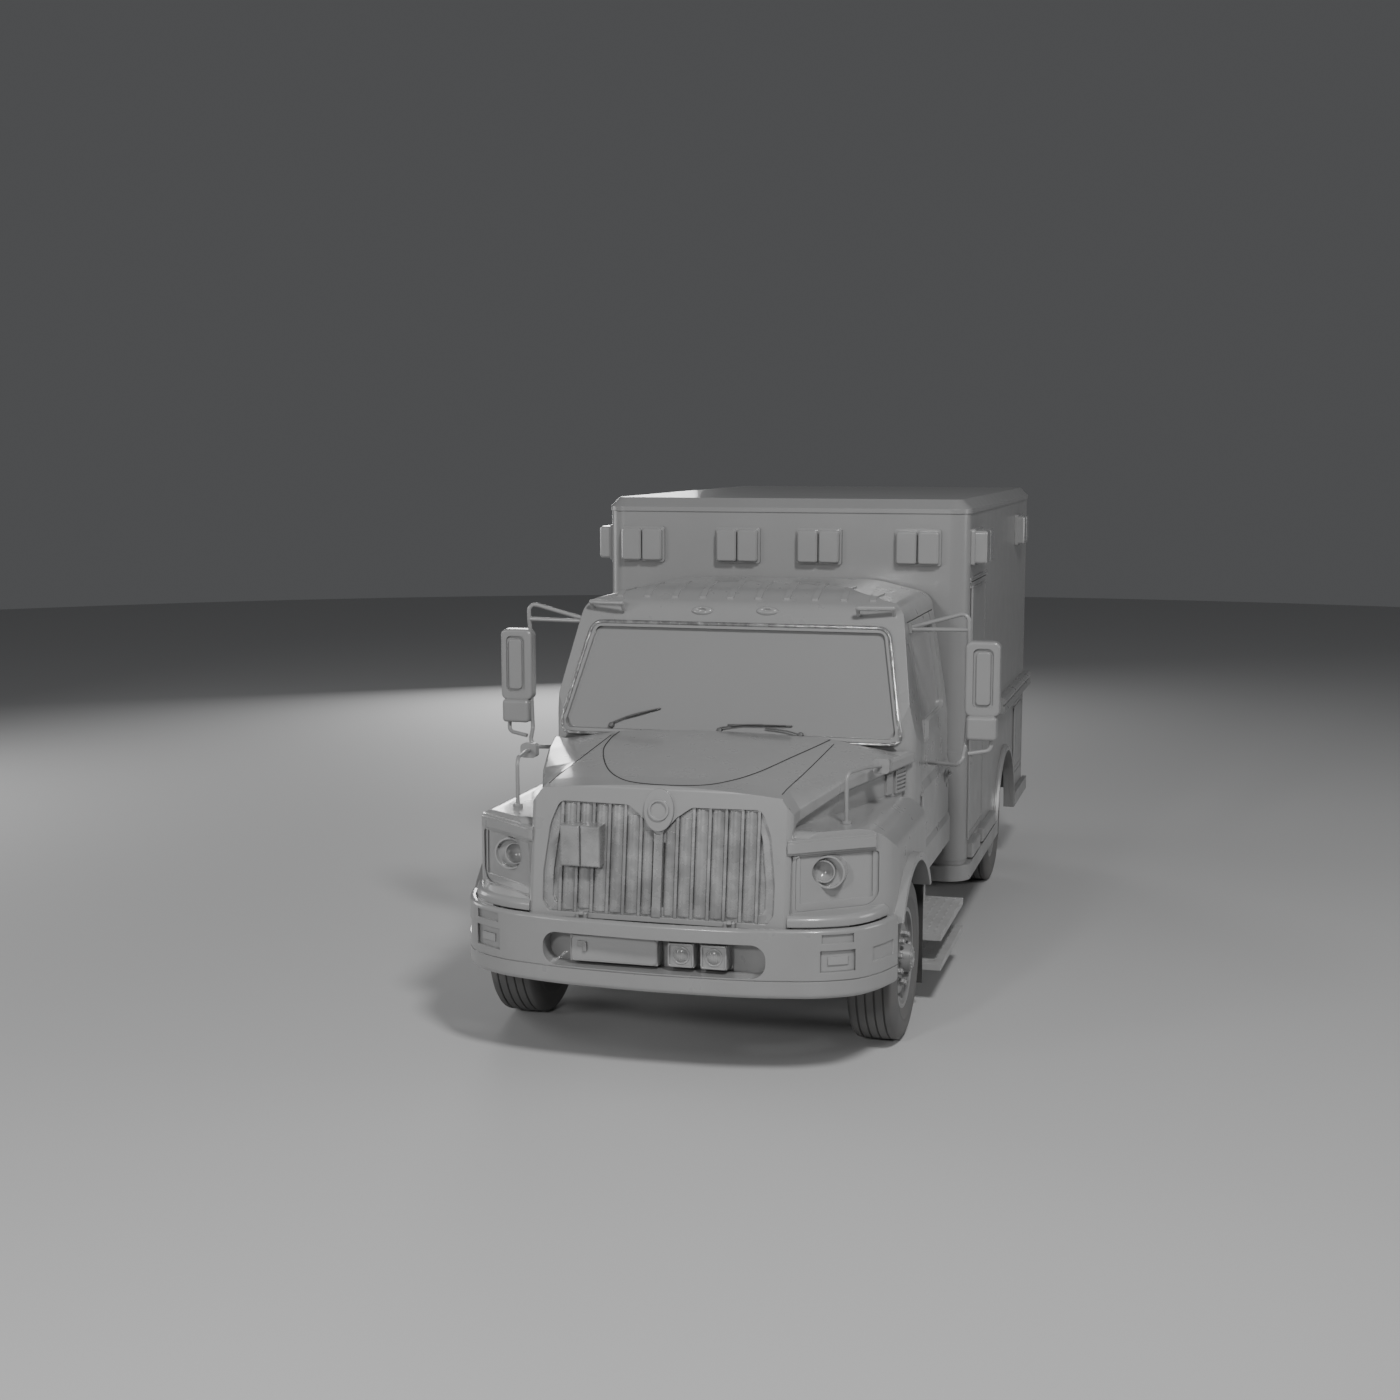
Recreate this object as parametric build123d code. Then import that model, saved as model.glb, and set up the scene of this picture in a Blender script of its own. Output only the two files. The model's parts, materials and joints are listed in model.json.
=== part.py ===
from build123d import *
from math import atan, degrees, radians, sin, sqrt, tan
import os

# Box ambulance on a bonneted truck chassis, in millimetres.
# X points forward, Y to the vehicle's left, Z up; while it is built, x = 0 is the front face of
# the patient module and z = 0 the ground. Each finished piece is then shifted along X so that
# the origin lies on the ground under the middle of the whole vehicle.

# Wheels and axles
tyre_radius = 465.0
tyre_width = 282.0
rim_radius = 286.0
wheelbase = 4222.0
front_axle_x = 1986.0
rear_axle_x = front_axle_x - wheelbase
front_track_half = 1053.0
rear_outer_half = 1028.0
dual_spacing = 312.0
shaft_clearance = 0.3

# Patient module
module_length = 3710.0
module_half = 1232.0
module_top = 3000.0
drip_z = 2908.0
skirt_z = 472.0
wall = 50.0
module_corner = 120.0
corner_depth = 130.0
floor_top = 1060.0
floor_thick = 50.0
rear_arch_radius = 545.0
lamp_depth = 70.0

# Cab
cab_back_x = 60.0
cab_half = 1130.0
cab_front_x = 1480.0
rocker_z = 745.0
cab_floor_top = 1040.0
belt_z = 1600.0
roof_edge_half = 1000.0
roof_edge_z = 2351.0
roof_top_z = 2500.0
cab_wall = 60.0
glass_thick = 8.0
seat_gap = 0.3
door_gap = 6.0

# Hood and fenders
hood_rear_x = 1545.0
nose_foot_x = 3000.0
nose_foot_z = 836.0
fender_foot_z = 868.0
nose_top_x = 2905.0
nose_top_z = 1549.0
nose_half = 727.0
hood_wall = 30.0
fender_half = 1200.0
fender_rear_x = 1425.0
fender_top_z = 1337.0
front_arch_radius = 560.0
flare_half = 1245.0
flare_width = 45.0

# Bumper
bumper_front_x = 3110.0
bumper_back_x = 2440.0
bumper_low_z = 478.0
bumper_top_z = 850.0
bumper_wall = 32.0
bumper_end_x = 2545.0
bumper_half = 1230.0

# Hood hinge, between the nose's foot and the bumper
hood_hinge_x = 3015.0
hood_hinge_z = 862.0
hood_hinge_y = 410.0
hood_eye_half = 12.0
hood_pin_radius = 6.0

# Chassis
rail_half = 450.0
rail_width = 70.0
rail_low_z = 700.0
rail_top_z = 950.0
outrigger_half = 700.0
tow_bore_radius = 20.0
bumper_tray_x = 2925.0
step_depth = 250.0

# Hinges
barrel_radius = 9.0
pin_radius = 4.0
leaf_thick = 4.0
hinge_run = 0.3

rear_step_x = -module_length - step_depth
frame_shift = -(bumper_front_x + rear_step_x) / 2


def block(x0, x1, y0, y1, z0, z1):
    size = (abs(x1 - x0), abs(y1 - y0), abs(z1 - z0))
    middle = ((x0 + x1) / 2, (y0 + y1) / 2, (z0 + z1) / 2)
    return Pos(*middle) * Box(*size)


def rounded_corner(before, corner, after, radius):
    """Start, middle and end of the arc that rounds a corner."""
    back = (before - corner).normalized()
    ahead = (after - corner).normalized()
    half = radians(back.get_angle(ahead) / 2)
    reach = radius / tan(half)
    middle = corner + (back + ahead).normalized() * (radius / sin(half) - radius)
    return corner + back * reach, middle, corner + ahead * reach


def rounded_edges(points, closed=True):
    """Lines through (a, b) or (a, b, radius) points, with an arc where a radius is given."""
    corners = [Vector(point[0], point[1], 0) for point in points]
    spans = []
    for k, point in enumerate(points):
        if len(point) > 2 and point[2]:
            after = corners[(k + 1) % len(points)]
            spans.append(rounded_corner(corners[k - 1], corners[k], after, point[2]))
        else:
            spans.append((corners[k], None, corners[k]))
    edges = []
    last = len(spans) if closed else len(spans) - 1
    for k, (start, middle, end) in enumerate(spans):
        if middle:
            edges.append(ThreePointArc(start, middle, end))
        if k < last:
            edges.append(Line(end, spans[(k + 1) % len(spans)][0]))
    return edges


def flat_face(points, radius=0.0, grow=0.0):
    """Face in the XY plane, from points with one radius for all corners or one of their own."""
    if radius:
        points = [(a, b, radius) for a, b in points]
    face = make_face(rounded_edges(points))
    return offset(face, amount=grow, kind=Kind.INTERSECTION) if grow else face


def side_prism(points, y0, y1, radius=0.0, grow=0.0):
    """Outline in X and Z, carried along Y."""
    plane = Plane(origin=(0, y1, 0), x_dir=(1, 0, 0), z_dir=(0, -1, 0))
    return extrude(plane * flat_face(points, radius, grow), amount=y1 - y0)


def plan_prism(points, z0, z1, radius=0.0, grow=0.0):
    """Outline in X and Y, carried along Z."""
    return extrude(Pos(0, 0, z0) * flat_face(points, radius, grow), amount=z1 - z0)


def front_prism(points, x0, x1, radius=0.0, grow=0.0):
    """Outline in Y and Z, carried along X."""
    plane = Plane(origin=(x0, 0, 0), x_dir=(0, 1, 0), z_dir=(1, 0, 0))
    return extrude(plane * flat_face(points, radius, grow), amount=x1 - x0)


def both_halves(points):
    """Close a half outline, given from the middle outwards with y first, over its mirror."""
    return points + [(-point[0],) + point[1:] for point in reversed(points) if point[0] > 0]


def mirrored(shape):
    return mirror(shape, about=Plane.XZ)


def rod(start, end, radius):
    """Round bar between two points."""
    path = Vector(*end) - Vector(*start)
    plane = Plane(origin=start, z_dir=path)
    return extrude(plane * Circle(radius), amount=path.length)


def cross_cylinder(x, z, radius, y0, y1):
    """Cylinder lying along Y."""
    plane = Plane(origin=(x, y0, z), x_dir=(1, 0, 0), z_dir=(0, 1, 0))
    return extrude(plane * Circle(radius), amount=y1 - y0)


def upright(x, y, z0, z1, radius):
    return Pos(x, y, (z0 + z1) / 2) * Cylinder(radius, z1 - z0)


def bent_tube(points, radius, bend):
    path = FilletPolyline(*points, radius=bend)
    section = Plane(origin=path @ 0, z_dir=path % 0) * Circle(radius)
    return sweep(section, path=path)


def piano_hinge(x, y, z0, z1, door_dir, out_dir):
    """Long upright hinge: a barrel and leaf for the door, a pin with two end blocks for the jamb.

    door_dir and out_dir are unit steps (x, y) from the axis along the door and out of the wall.
    """
    inner = -barrel_radius
    cap = 16.0
    reach = 28.0

    def plate(a0, a1, o0, o1, low, high):
        xs = sorted(x + a * door_dir[0] + o * out_dir[0] for a, o in ((a0, o0), (a1, o1)))
        ys = sorted(y + a * door_dir[1] + o * out_dir[1] for a, o in ((a0, o0), (a1, o1)))
        return block(xs[0], xs[1], ys[0], ys[1], low, high)

    moving = upright(x, y, z0 + cap, z1 - cap, barrel_radius)
    moving += plate(0, reach, inner, inner + leaf_thick, z0 + cap, z1 - cap)
    moving -= upright(x, y, z0, z1, pin_radius + shaft_clearance)
    fixed = upright(x, y, z0, z1, pin_radius)
    for low, high in ((z0, z0 + cap - hinge_run), (z1 - cap + hinge_run, z1)):
        fixed += plate(-reach, 0, inner, inner + 2 * leaf_thick, low, high)
        fixed += upright(x, y, low, high, barrel_radius - 1)
    return fixed, moving


# Wheels

def tyre_solid(centre_y, x, radius, width):
    """Tyre standing on the ground with its middle plane at centre_y."""
    half = width / 2
    shoulder = 28.0
    bead = rim_radius
    points = [
        (centre_y - half * 0.86, bead),
        (centre_y - half, bead + 55),
        (centre_y - half, radius - 70),
        (centre_y - half + shoulder * 0.35, radius - shoulder),
        (centre_y - half + shoulder, radius - 4),
        (centre_y, radius),
        (centre_y + half - shoulder, radius - 4),
        (centre_y + half - shoulder * 0.35, radius - shoulder),
        (centre_y + half, radius - 70),
        (centre_y + half, bead + 55),
        (centre_y + half * 0.86, bead),
    ]
    return turned(points, x)


def turned(points, x):
    """Ring or disc turned about a wheel's axle from (y, radius) points."""
    plane = Plane(origin=(x, 0, tyre_radius), x_dir=(0, 1, 0), z_dir=(1, 0, 0))
    face = plane * flat_face(points)
    return revolve(face, axis=Axis((x, 0, tyre_radius), (0, 1, 0)), revolution_arc=360)


def around_axle(shape, x, count):
    """Copies of a shape turned about the axle."""
    copies = []
    for k in range(count):
        centre = Pos(x, 0, tyre_radius) * Rot(0, 360 / count * k, 0) * Pos(-x, 0, -tyre_radius)
        copies.append(centre * shape)
    return copies


rim_half = tyre_width * 0.43
rim_wall = 9.0
stud_circle = 285.75 / 2
stud_count = 10
spindle_radius = 45.0


def rim_barrel(centre_y, x):
    """The rim's rolled section, seated just inside the tyre's bead."""
    outer = rim_radius - seat_gap
    return turned([
        (centre_y - rim_half, outer - rim_wall - 14),
        (centre_y - rim_half, outer),
        (centre_y + rim_half, outer),
        (centre_y + rim_half, outer - rim_wall - 14),
        (centre_y + rim_half - 24, outer - rim_wall - 14),
        (centre_y + rim_half - 40, outer - rim_wall - 30),
        (centre_y - rim_half + 40, outer - rim_wall - 30),
        (centre_y - rim_half + 24, outer - rim_wall - 14),
    ], x)


def front_wheel(x):
    """Steered wheel's rim, disc, hub and studs, on the left side."""
    centre_y = front_track_half
    face_y = centre_y + 100
    root = rim_radius - rim_wall - 32
    solid = rim_barrel(centre_y, x)
    solid += turned([
        (centre_y + 20, root),
        (centre_y + 50, root + 12),
        (face_y, 200),
        (face_y, spindle_radius + 20),
        (face_y - 16, spindle_radius + 20),
        (face_y - 16, 190),
    ], x)
    hand_hole = cross_cylinder(x, tyre_radius + 222, 24, centre_y, face_y + 40)
    for hole in around_axle(hand_hole, x, stud_count):
        solid -= hole
    solid += turned([
        (centre_y - 60, spindle_radius + shaft_clearance),
        (centre_y - 60, 105),
        (face_y, 105),
        (face_y + 4, 85),
        (face_y + 60, 75),
        (face_y + 60, 0.0),
        (face_y + 42, 0.0),
        (face_y + 42, spindle_radius + shaft_clearance),
    ], x)
    stud = cross_cylinder(x, tyre_radius + stud_circle, 16, face_y - 2, face_y + 30)
    for piece in around_axle(stud, x, stud_count):
        solid += piece
    return solid


def rear_wheel(x):
    """Twin rims with their dished discs bolted back to back on one hub, on the left side."""
    outer_y = rear_outer_half
    inner_y = outer_y - dual_spacing
    seam_y = (outer_y + inner_y) / 2
    root = rim_radius - rim_wall - 32
    solid = rim_barrel(outer_y, x) + rim_barrel(inner_y, x)
    for side, middle in ((1, outer_y), (-1, inner_y)):
        solid += turned([
            (middle - side * 20, root),
            (middle - side * 50, root + 12),
            (seam_y + side * 14, 205),
            (seam_y, 205),
            (seam_y, spindle_radius + 20),
            (seam_y + side * 14, spindle_radius + 20),
            (seam_y + side * 14, 190),
        ], x)
    hand_hole = cross_cylinder(x, tyre_radius + 226, 22, inner_y, outer_y + 40)
    for hole in around_axle(hand_hole, x, stud_count):
        solid -= hole
    solid += turned([
        (inner_y - 40, spindle_radius + shaft_clearance),
        (inner_y - 40, 120),
        (seam_y, 120),
        (seam_y + 100, 105),
        (outer_y + 90, 95),
        (outer_y + 104, 70),
        (outer_y + 104, 0.0),
        (outer_y + 80, 0.0),
        (outer_y + 80, spindle_radius + shaft_clearance),
    ], x)
    stud = cross_cylinder(x, tyre_radius + stud_circle, 16, seam_y + 10, seam_y + 52)
    for piece in around_axle(stud, x, stud_count):
        solid += piece
    return solid


# Axles, springs and chassis

kingpin_half = 905.0
gearbox_back_x = 900.0
rear_spring_lift = 100.0
kingpin_radius = 20.0
eye_radius = 38.0
eye_half_height = 62.0
beam_drop = 90.0


def front_axle():
    """Dropped beam with an upright eye at each end."""
    z = tyre_radius
    half_beam = [
        (0, z - beam_drop - 45),
        (520, z - beam_drop - 45),
        (700, z - 45),
        (kingpin_half, z - 45),
        (kingpin_half, z + 45),
        (680, z + 45),
        (500, z - beam_drop + 45),
        (0, z - beam_drop + 45),
    ]
    outline = half_beam + [(-y, zz) for y, zz in reversed(half_beam) if y > 0]
    beam = front_prism(outline, front_axle_x - 38, front_axle_x + 38)
    for side in (1, -1):
        y = side * kingpin_half
        beam += upright(front_axle_x, y, z - eye_half_height, z + eye_half_height, eye_radius)
    for side in (1, -1):
        y = side * kingpin_half
        pin_room = kingpin_radius + shaft_clearance
        beam -= upright(front_axle_x, y, z - 100, z + 100, pin_room)
        beam += block(front_axle_x - 60, front_axle_x + 60, side * 360, side * 480,
                      z - beam_drop + 45, z + 10)
    return beam


def knuckle():
    """Left steering knuckle: two ears, the kingpin and the wheel's spindle."""
    z = tyre_radius
    x = front_axle_x
    ear = 26.0
    gap = shaft_clearance
    body = upright(x, kingpin_half, z - eye_half_height - ear, z + eye_half_height + ear,
                   kingpin_radius)
    for low in (z - eye_half_height - ear, z + eye_half_height + gap):
        high = low + ear - gap
        body += upright(x, kingpin_half, low, high, eye_radius)
        body += block(x - eye_radius, x + eye_radius, kingpin_half, kingpin_half + 66, low, high)
    web_y = kingpin_half + eye_radius + 6
    body += block(x - eye_radius, x + eye_radius, web_y, kingpin_half + 66,
                  z - eye_half_height - ear, z + eye_half_height + ear - gap)
    body += cross_cylinder(x, z, 70, kingpin_half + 60, kingpin_half + 84)
    body += cross_cylinder(x, z, spindle_radius, kingpin_half + 70, front_track_half + 138)
    arm_z = z - eye_half_height - ear
    body += block(x - 230, x, kingpin_half - 14, kingpin_half + 30, arm_z, arm_z + 22)
    return body


def rear_axle():
    """Axle housing with the final drive and its spindles, and the propeller shaft."""
    z = tyre_radius
    x = rear_axle_x
    hub_end = rear_outer_half + 78
    hub_inner = rear_outer_half - dual_spacing - 44
    half = [
        (190, 0), (190, 80), (90, 170), (70, 260), (70, hub_inner - 60),
        (130, hub_inner - 60), (130, hub_inner - 6), (spindle_radius, hub_inner - 6),
        (spindle_radius, hub_end),
    ]
    outline = [(-y, r) for r, y in reversed(half)] + [(y, r) for r, y in half[1:]]
    solid = turned([(-hub_end, 0)] + outline + [(hub_end, 0)], x)
    for side in (1, -1):
        y0, y1 = sorted((side * 480, side * 560))
        solid += block(x - 85, x + 85, y0, y1, z - 40, z + rear_spring_lift)
    nose_x = x + 330
    solid += rod((x, 0, z), (nose_x, 0, z + 30), 88)
    yoke_x = gearbox_back_x - 80
    solid += rod((nose_x - 20, 0, z + 28), (yoke_x, 0, 640), 52)
    solid += rod((yoke_x - 30, 0, 640), (gearbox_back_x - seat_gap, 0, 640), 60)
    return solid


def leaf_springs():
    """Four packs of leaves, hung from the rails by eyes and shackles."""
    packs = []
    # axle x, pack middle y, pack bottom z, half length, leaves
    table = (
        (front_axle_x, 420.0, tyre_radius + 10.0, 560.0, 4),
        (rear_axle_x, 520.0, tyre_radius + rear_spring_lift, 620.0, 5),
    )
    leaf = 22.0
    width = 76.0
    leaf_rise = 60.0
    for x, y, low, half, leaves in table:
        pack = None
        for k in range(leaves):
            reach = half * (0.35 + 0.65 * k / (leaves - 1))
            lift = leaf_rise * reach / half
            z = low + leaf * k
            outline = [
                (x - reach, z + lift), (x, z), (x + reach, z + lift),
                (x + reach, z + lift + leaf), (x, z + leaf), (x - reach, z + lift + leaf),
            ]
            piece = side_prism(outline, y - width / 2, y + width / 2)
            pack = piece if pack is None else pack + piece
        top = low + leaf * leaves
        beside_rail = y > rail_half
        for end in (-1, 1):
            eye_x = x + end * (half - 20)
            if beside_rail:
                pack += block(eye_x - 30, eye_x + 30, rail_half + seat_gap, y + width / 2,
                              top + 30, top + 130)
            else:
                pack += block(eye_x - 30, eye_x + 30, y - width / 2, y + width / 2,
                              top + 20, rail_low_z)
        packs += [pack, mirrored(pack)]
    return packs


def frame_rails():
    """Ladder frame with cross-members, body risers, bumper brackets and hood-hinge ears."""
    rear = -module_length + 60
    front = bumper_tray_x - seat_gap
    solid = None
    for side in (1, -1):
        outer = side * rail_half
        inner = side * (rail_half - rail_width)
        rail = block(rear, front, outer, inner, rail_low_z, rail_top_z)
        solid = rail if solid is None else solid + rail
    solid -= block(2800, front + 1, -rail_half - 1, rail_half + 1, bumper_top_z, rail_top_z + 1)
    for x in (rear + 40, -2900, -1500, -300, 600, front - 60):
        high = min(rail_low_z + 170, bumper_top_z - 30) if x > 2800 else rail_low_z + 170
        solid += block(x - 40, x + 40, -rail_half, rail_half, rail_low_z + 30, high)
    riser_top = floor_top - floor_thick
    for side in (1, -1):
        solid += block(rear, -60, side * (rail_half - 60), side * rail_half,
                       rail_top_z, riser_top)
    for x in (-250, -900, -3000, -3500):
        solid += block(x - 35, x + 35, -outrigger_half, outrigger_half, riser_top - 50, riser_top)
    solid += block(rear - 80, rear + 60, -16, 16, 600, rail_low_z + 12)
    solid += block(rear, rear + 60, -16, 16, rail_low_z, rail_low_z + 60)
    solid -= cross_cylinder(rear - 45, 650, tow_bore_radius, -30, 30)
    for x in (260, 1150):
        for side in (1, -1):
            solid += block(x - 50, x + 50, side * 330, side * 470, rail_top_z, cab_floor_top - 50)
    return solid


def engine():
    """Plain engine block between the rails, and the radiator ahead of it."""
    block_low = 640.0
    solid = block(1640, 2560, -300, 300, block_low, 1330)
    solid = chamfer(solid.edges().filter_by(Axis.X), 60)
    for x in (1750, 2450):
        solid += block(x - 40, x + 40, -(rail_half - rail_width), rail_half - rail_width,
                       rail_low_z + 40, rail_top_z - 60)
    solid += block(gearbox_back_x, 1645, -210, 210, 560, 900)
    radiator = block(2700, 2790, -(rail_half + 60), rail_half + 60, rail_top_z, 1390)
    return [solid, radiator]


def exhaust():
    """Silencer and tail pipe on the right, hung from the rail."""
    y = -585.0
    z = 640.0
    solid = rod((-300, y, z), (-1250, y, z), 120)
    solid += bent_tube([(-1240, y, z), (-1400, y, z), (-1520, -650, 550), (-1600, -1120, 550)],
                       45, 60)
    solid += rod((-310, y, z), (400, y, z), 50)
    for x in (-450, -1100):
        solid += block(x - 25, x + 25, y, -rail_half, z + 60, z + 110)
    return solid


def fuel_tank():
    """Tank under the left of the module, strapped to the rail."""
    tank = block(-1590, -1010, rail_half, 1080, 480, 880)
    return fillet(tank.edges().filter_by(Axis.X), 70)


# Cab

def cab_front_outline(inset):
    """Cab seen from the front, from the sill to the roof's crown."""
    side = cab_half - inset
    edge = roof_edge_half + 2 - inset
    return both_halves([
        (0, rocker_z + inset),
        (side, rocker_z + inset, 20),
        (side, belt_z - 10, 600),
        (edge, roof_edge_z + 42 - inset * 0.8, 110),
        (620, roof_top_z - 20 - inset, 900),
        (0, roof_top_z - inset, 2400),
    ])


windscreen_low = (1526.0, 1625.0)
windscreen_high = (1205.0, 2290.0)


def cab_side_outline(inset):
    """Cab seen from its side: back wall, roof, windscreen, cowl and the fender's rear edge."""
    lean = (windscreen_low[0] - windscreen_high[0]) / (windscreen_low[1] - windscreen_high[1])
    slip = inset * sqrt(1 + lean * lean)
    return [
        (cab_back_x + inset, rocker_z + inset),
        (1195 - inset * 0.4, rocker_z + inset),
        (1350 - inset, 960),
        (1385 - inset, 1150),
        (cab_front_x - inset, 1330),
        (cab_front_x - inset, 1560),
        (windscreen_low[0] - slip, windscreen_low[1]),
        (windscreen_high[0] - slip, windscreen_high[1], 300),
        (windscreen_high[0] - 60 - inset, 2380 - inset, 150),
        (980, 2462 - inset, 380),
        (760, roof_top_z - inset, 600),
        (cab_back_x + inset, roof_top_z - 20 - inset, 30),
    ]


def cab_plan_outline(inset):
    """Cab seen from above: parallel sides that draw in ahead of the doors."""
    side = cab_half - inset
    return both_plan([
        (cab_back_x + inset, 0),
        (cab_back_x + inset, side, 50),
        (1210, side),
        (1392, 1120 - inset, 180),
        (1518 - inset, 1002 - inset, 115),
        (1560 - inset, 0, 6000),
    ])


def both_plan(points):
    """Close a half outline in X and Y, given from the back to the front, over its mirror."""
    return points + [(point[0], -point[1]) + point[2:] for point in reversed(points) if point[1] > 0]


def cab_form(inset):
    form = side_prism(cab_side_outline(inset), -cab_half, cab_half)
    form &= front_prism(cab_front_outline(inset), 0, 1700)
    form &= plan_prism(cab_plan_outline(inset), 600, 2600)
    return form


cab_door_rear = 105.0
cab_door_front = 1180.0
cab_door_low = 770.0
cab_door_top = 2290.0
cab_door_outline = [
    (cab_door_rear, cab_door_low),
    (cab_door_front, cab_door_low),
    (cab_door_front, belt_z + 60),
    (1110, cab_door_top),
    (cab_door_rear, cab_door_top),
]
cab_window_outline = [
    (1100, 1560, 25),
    (930, 1560, 60),
    (830, 1668, 60),
    (190, 1676, 50),
    (190, 2215, 50),
    (1035, 2225, 30),
]
windscreen_outline = [
    (-1030, 1640, 40),
    (1030, 1640, 40),
    (903, 2240, 40),
    (-903, 2240, 40),
]
gasket_width = 34.0
gasket_rise = 9.0
roof_rib_count = 10
roof_rib_pitch = 178.0


door_hinge_x = cab_door_front + door_gap / 2 + 4
door_hinge_y = cab_half + barrel_radius
cab_hinge_spans = ((810.0, 930.0), (1150.0, 1270.0))


def door_sweep(grow):
    """Upright cylinder about the hinge, which the door's rear edge and its jamb both follow."""
    radius = door_hinge_x - cab_door_rear + grow
    return upright(door_hinge_x, door_hinge_y, 600, 2500, radius)


def cab_and_doors():
    """Cab shell and its left door, cut from one form along the door's shut line."""
    outer = cab_form(0)
    room = cab_form(cab_wall)
    inner = room - block(0, 1700, -cab_half, cab_half, 0, cab_floor_top)
    shell = outer - inner
    under = cab_floor_top - 50
    shell -= block(0, 1700, -cab_half + cab_wall, cab_half - cab_wall, 0, under)
    shell -= front_prism(windscreen_outline, 1000, 1700)
    near, far = cab_half - 320, cab_half + 10
    opening = side_prism(cab_door_outline, near, far, grow=door_gap) & door_sweep(door_gap)
    cabin = room + block(cab_back_x, 1300, 0, cab_half - cab_wall, 600, cab_floor_top)
    door = (outer - cabin) & side_prism(cab_door_outline, near, far)
    door &= door_sweep(0)
    door += door_panels()
    door -= side_prism(cab_window_outline, near, far)
    shell += screen_gasket(outer)
    shell += roof_ribs(outer)
    shell -= opening
    shell -= mirrored(opening)
    tube = header_tube()
    shell += tube
    shell += mirrored(tube)
    for low, high in cab_hinge_spans:
        fixed, moving = piano_hinge(door_hinge_x, door_hinge_y, low, high, (-1, 0), (0, 1))
        door += moving
        shell += fixed
        shell += mirrored(fixed)
    return shell, door


door_ledges = ((1338.0, 1283.0), (962.0, 925.0))
door_ledge_rise = 13.0


def door_panels():
    """Two outer panels below the window, the lower one further out, each with a sloped ledge on top."""
    root = cab_half - 20
    rise = 0.0
    points = [(root, door_ledges[0][0])]
    for top, foot in door_ledges:
        points.append((cab_half + rise, top))
        rise += door_ledge_rise
        points.append((cab_half + rise, foot))
    points += [(cab_half + rise, cab_door_low), (root, cab_door_low)]
    return front_prism(points, cab_door_rear, cab_door_front - 20) & door_sweep(0)


def screen_gasket(outer):
    """Raised frame round the windscreen."""
    ring = front_prism(windscreen_outline, 1000, 1700, grow=gasket_width)
    ring -= front_prism(windscreen_outline, 990, 1710)
    return (cab_form(-gasket_rise) - outer) & ring


def roof_ribs(outer):
    """Short ribs on the roof's front slope."""
    skin = cab_form(-9) - outer
    ribs = None
    for k in range(roof_rib_count):
        y = roof_rib_pitch * (k - (roof_rib_count - 1) / 2)
        rib = skin & block(760, 1080, y - 20, y + 20, 2300, 2600)
        ribs = rib if ribs is None else ribs + rib
    return ribs


def header_tube():
    """Tube on two feet above the screen's left corner."""
    inner, outer = (1245, 739, 2386), (1208, 950, 2386)
    tube = rod(inner, outer, 16)
    for x, y, z in (inner, outer):
        tube += rod((x, y, z), (x - 40, y, z - 45), 12)
        tube += Pos(x, y, z) * Sphere(14)
    return tube


def glass_slice(inset):
    """Thin layer of the cab's form, from which its panes are cut."""
    return cab_form(inset) - cab_form(inset + glass_thick)


def windscreen():
    pane = front_prism(windscreen_outline, 1000, 1700, grow=-seat_gap)
    return glass_slice(18) & pane


def cab_door_glass():
    near, far = cab_half - 320, cab_half + 10
    return glass_slice(26) & side_prism(cab_window_outline, near, far, grow=-seat_gap)


mirror_x = 1095.0
mirror_inner = 1375.0
mirror_outer = 1583.0
mirror_low = 1570.0
mirror_high = 2195.0
mirror_depth = 95.0
foot_thick = 16.0


def door_mirror():
    """Left mirror: its head, the pod below it, and the tube loops that carry it off the door."""
    head = block(mirror_x - mirror_depth / 2, mirror_x + mirror_depth / 2,
                 mirror_inner, mirror_outer, mirror_low + 170, mirror_high)
    head = fillet(head.edges().filter_by(Axis.X), 42)
    for place in (-1, 0):
        head = fillet(head.faces().sort_by(Axis.X)[place].edges(), 16)
    recess = block(mirror_x + mirror_depth / 2 - 16, mirror_x + mirror_depth, mirror_inner + 48, mirror_outer - 38,
                   mirror_low + 222, mirror_high - 44)
    head -= fillet(recess.edges().filter_by(Axis.X), 34)
    panel = block(mirror_x, mirror_x + mirror_depth / 2 + 2, mirror_inner + 66, mirror_outer - 54,
                  mirror_low + 242, mirror_high - 64)
    panel = fillet(panel.edges().filter_by(Axis.X), 24)
    head += fillet(panel.faces().sort_by(Axis.X)[-1].edges(), 7)
    pod = block(mirror_x - 30, mirror_x + 75, mirror_inner + 14, mirror_outer - 14,
                mirror_low + 30, mirror_low + 178)
    pod = fillet(pod.edges().filter_by(Axis.X), 24)
    pod = fillet(pod.faces().sort_by(Axis.X)[-1].edges(), 22)
    head += pod
    post_y = mirror_inner + 18
    bar = 13.0
    skin = cab_form(-foot_thick) - cab_form(-seat_gap)
    head += skin & block(1030, 1086, 960, 1200, 2228, 2284)
    head += skin & block(930, 990, 1100, 1200, 1396, 1452)
    root_y = cab_half + foot_thick - 3
    head += bent_tube([(1058, 1036, 2262), (1127, 1391, 2366), (1125, post_y, 2265),
                       (mirror_x, post_y, 2150)], bar, 40)
    head += rod((1058, 1036, 2250), (1123, post_y, 2262), bar)
    head += bent_tube([(mirror_x, post_y, 1760), (1110, post_y - 12, 1560),
                       (1205, 1372, 1456), (960, root_y, 1424)], bar, 45)
    head += bent_tube([(mirror_x, mirror_outer - 40, 1640), (1130, mirror_outer - 50, 1540),
                       (1160, post_y + 10, 1520)], bar, 40)
    return head


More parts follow.
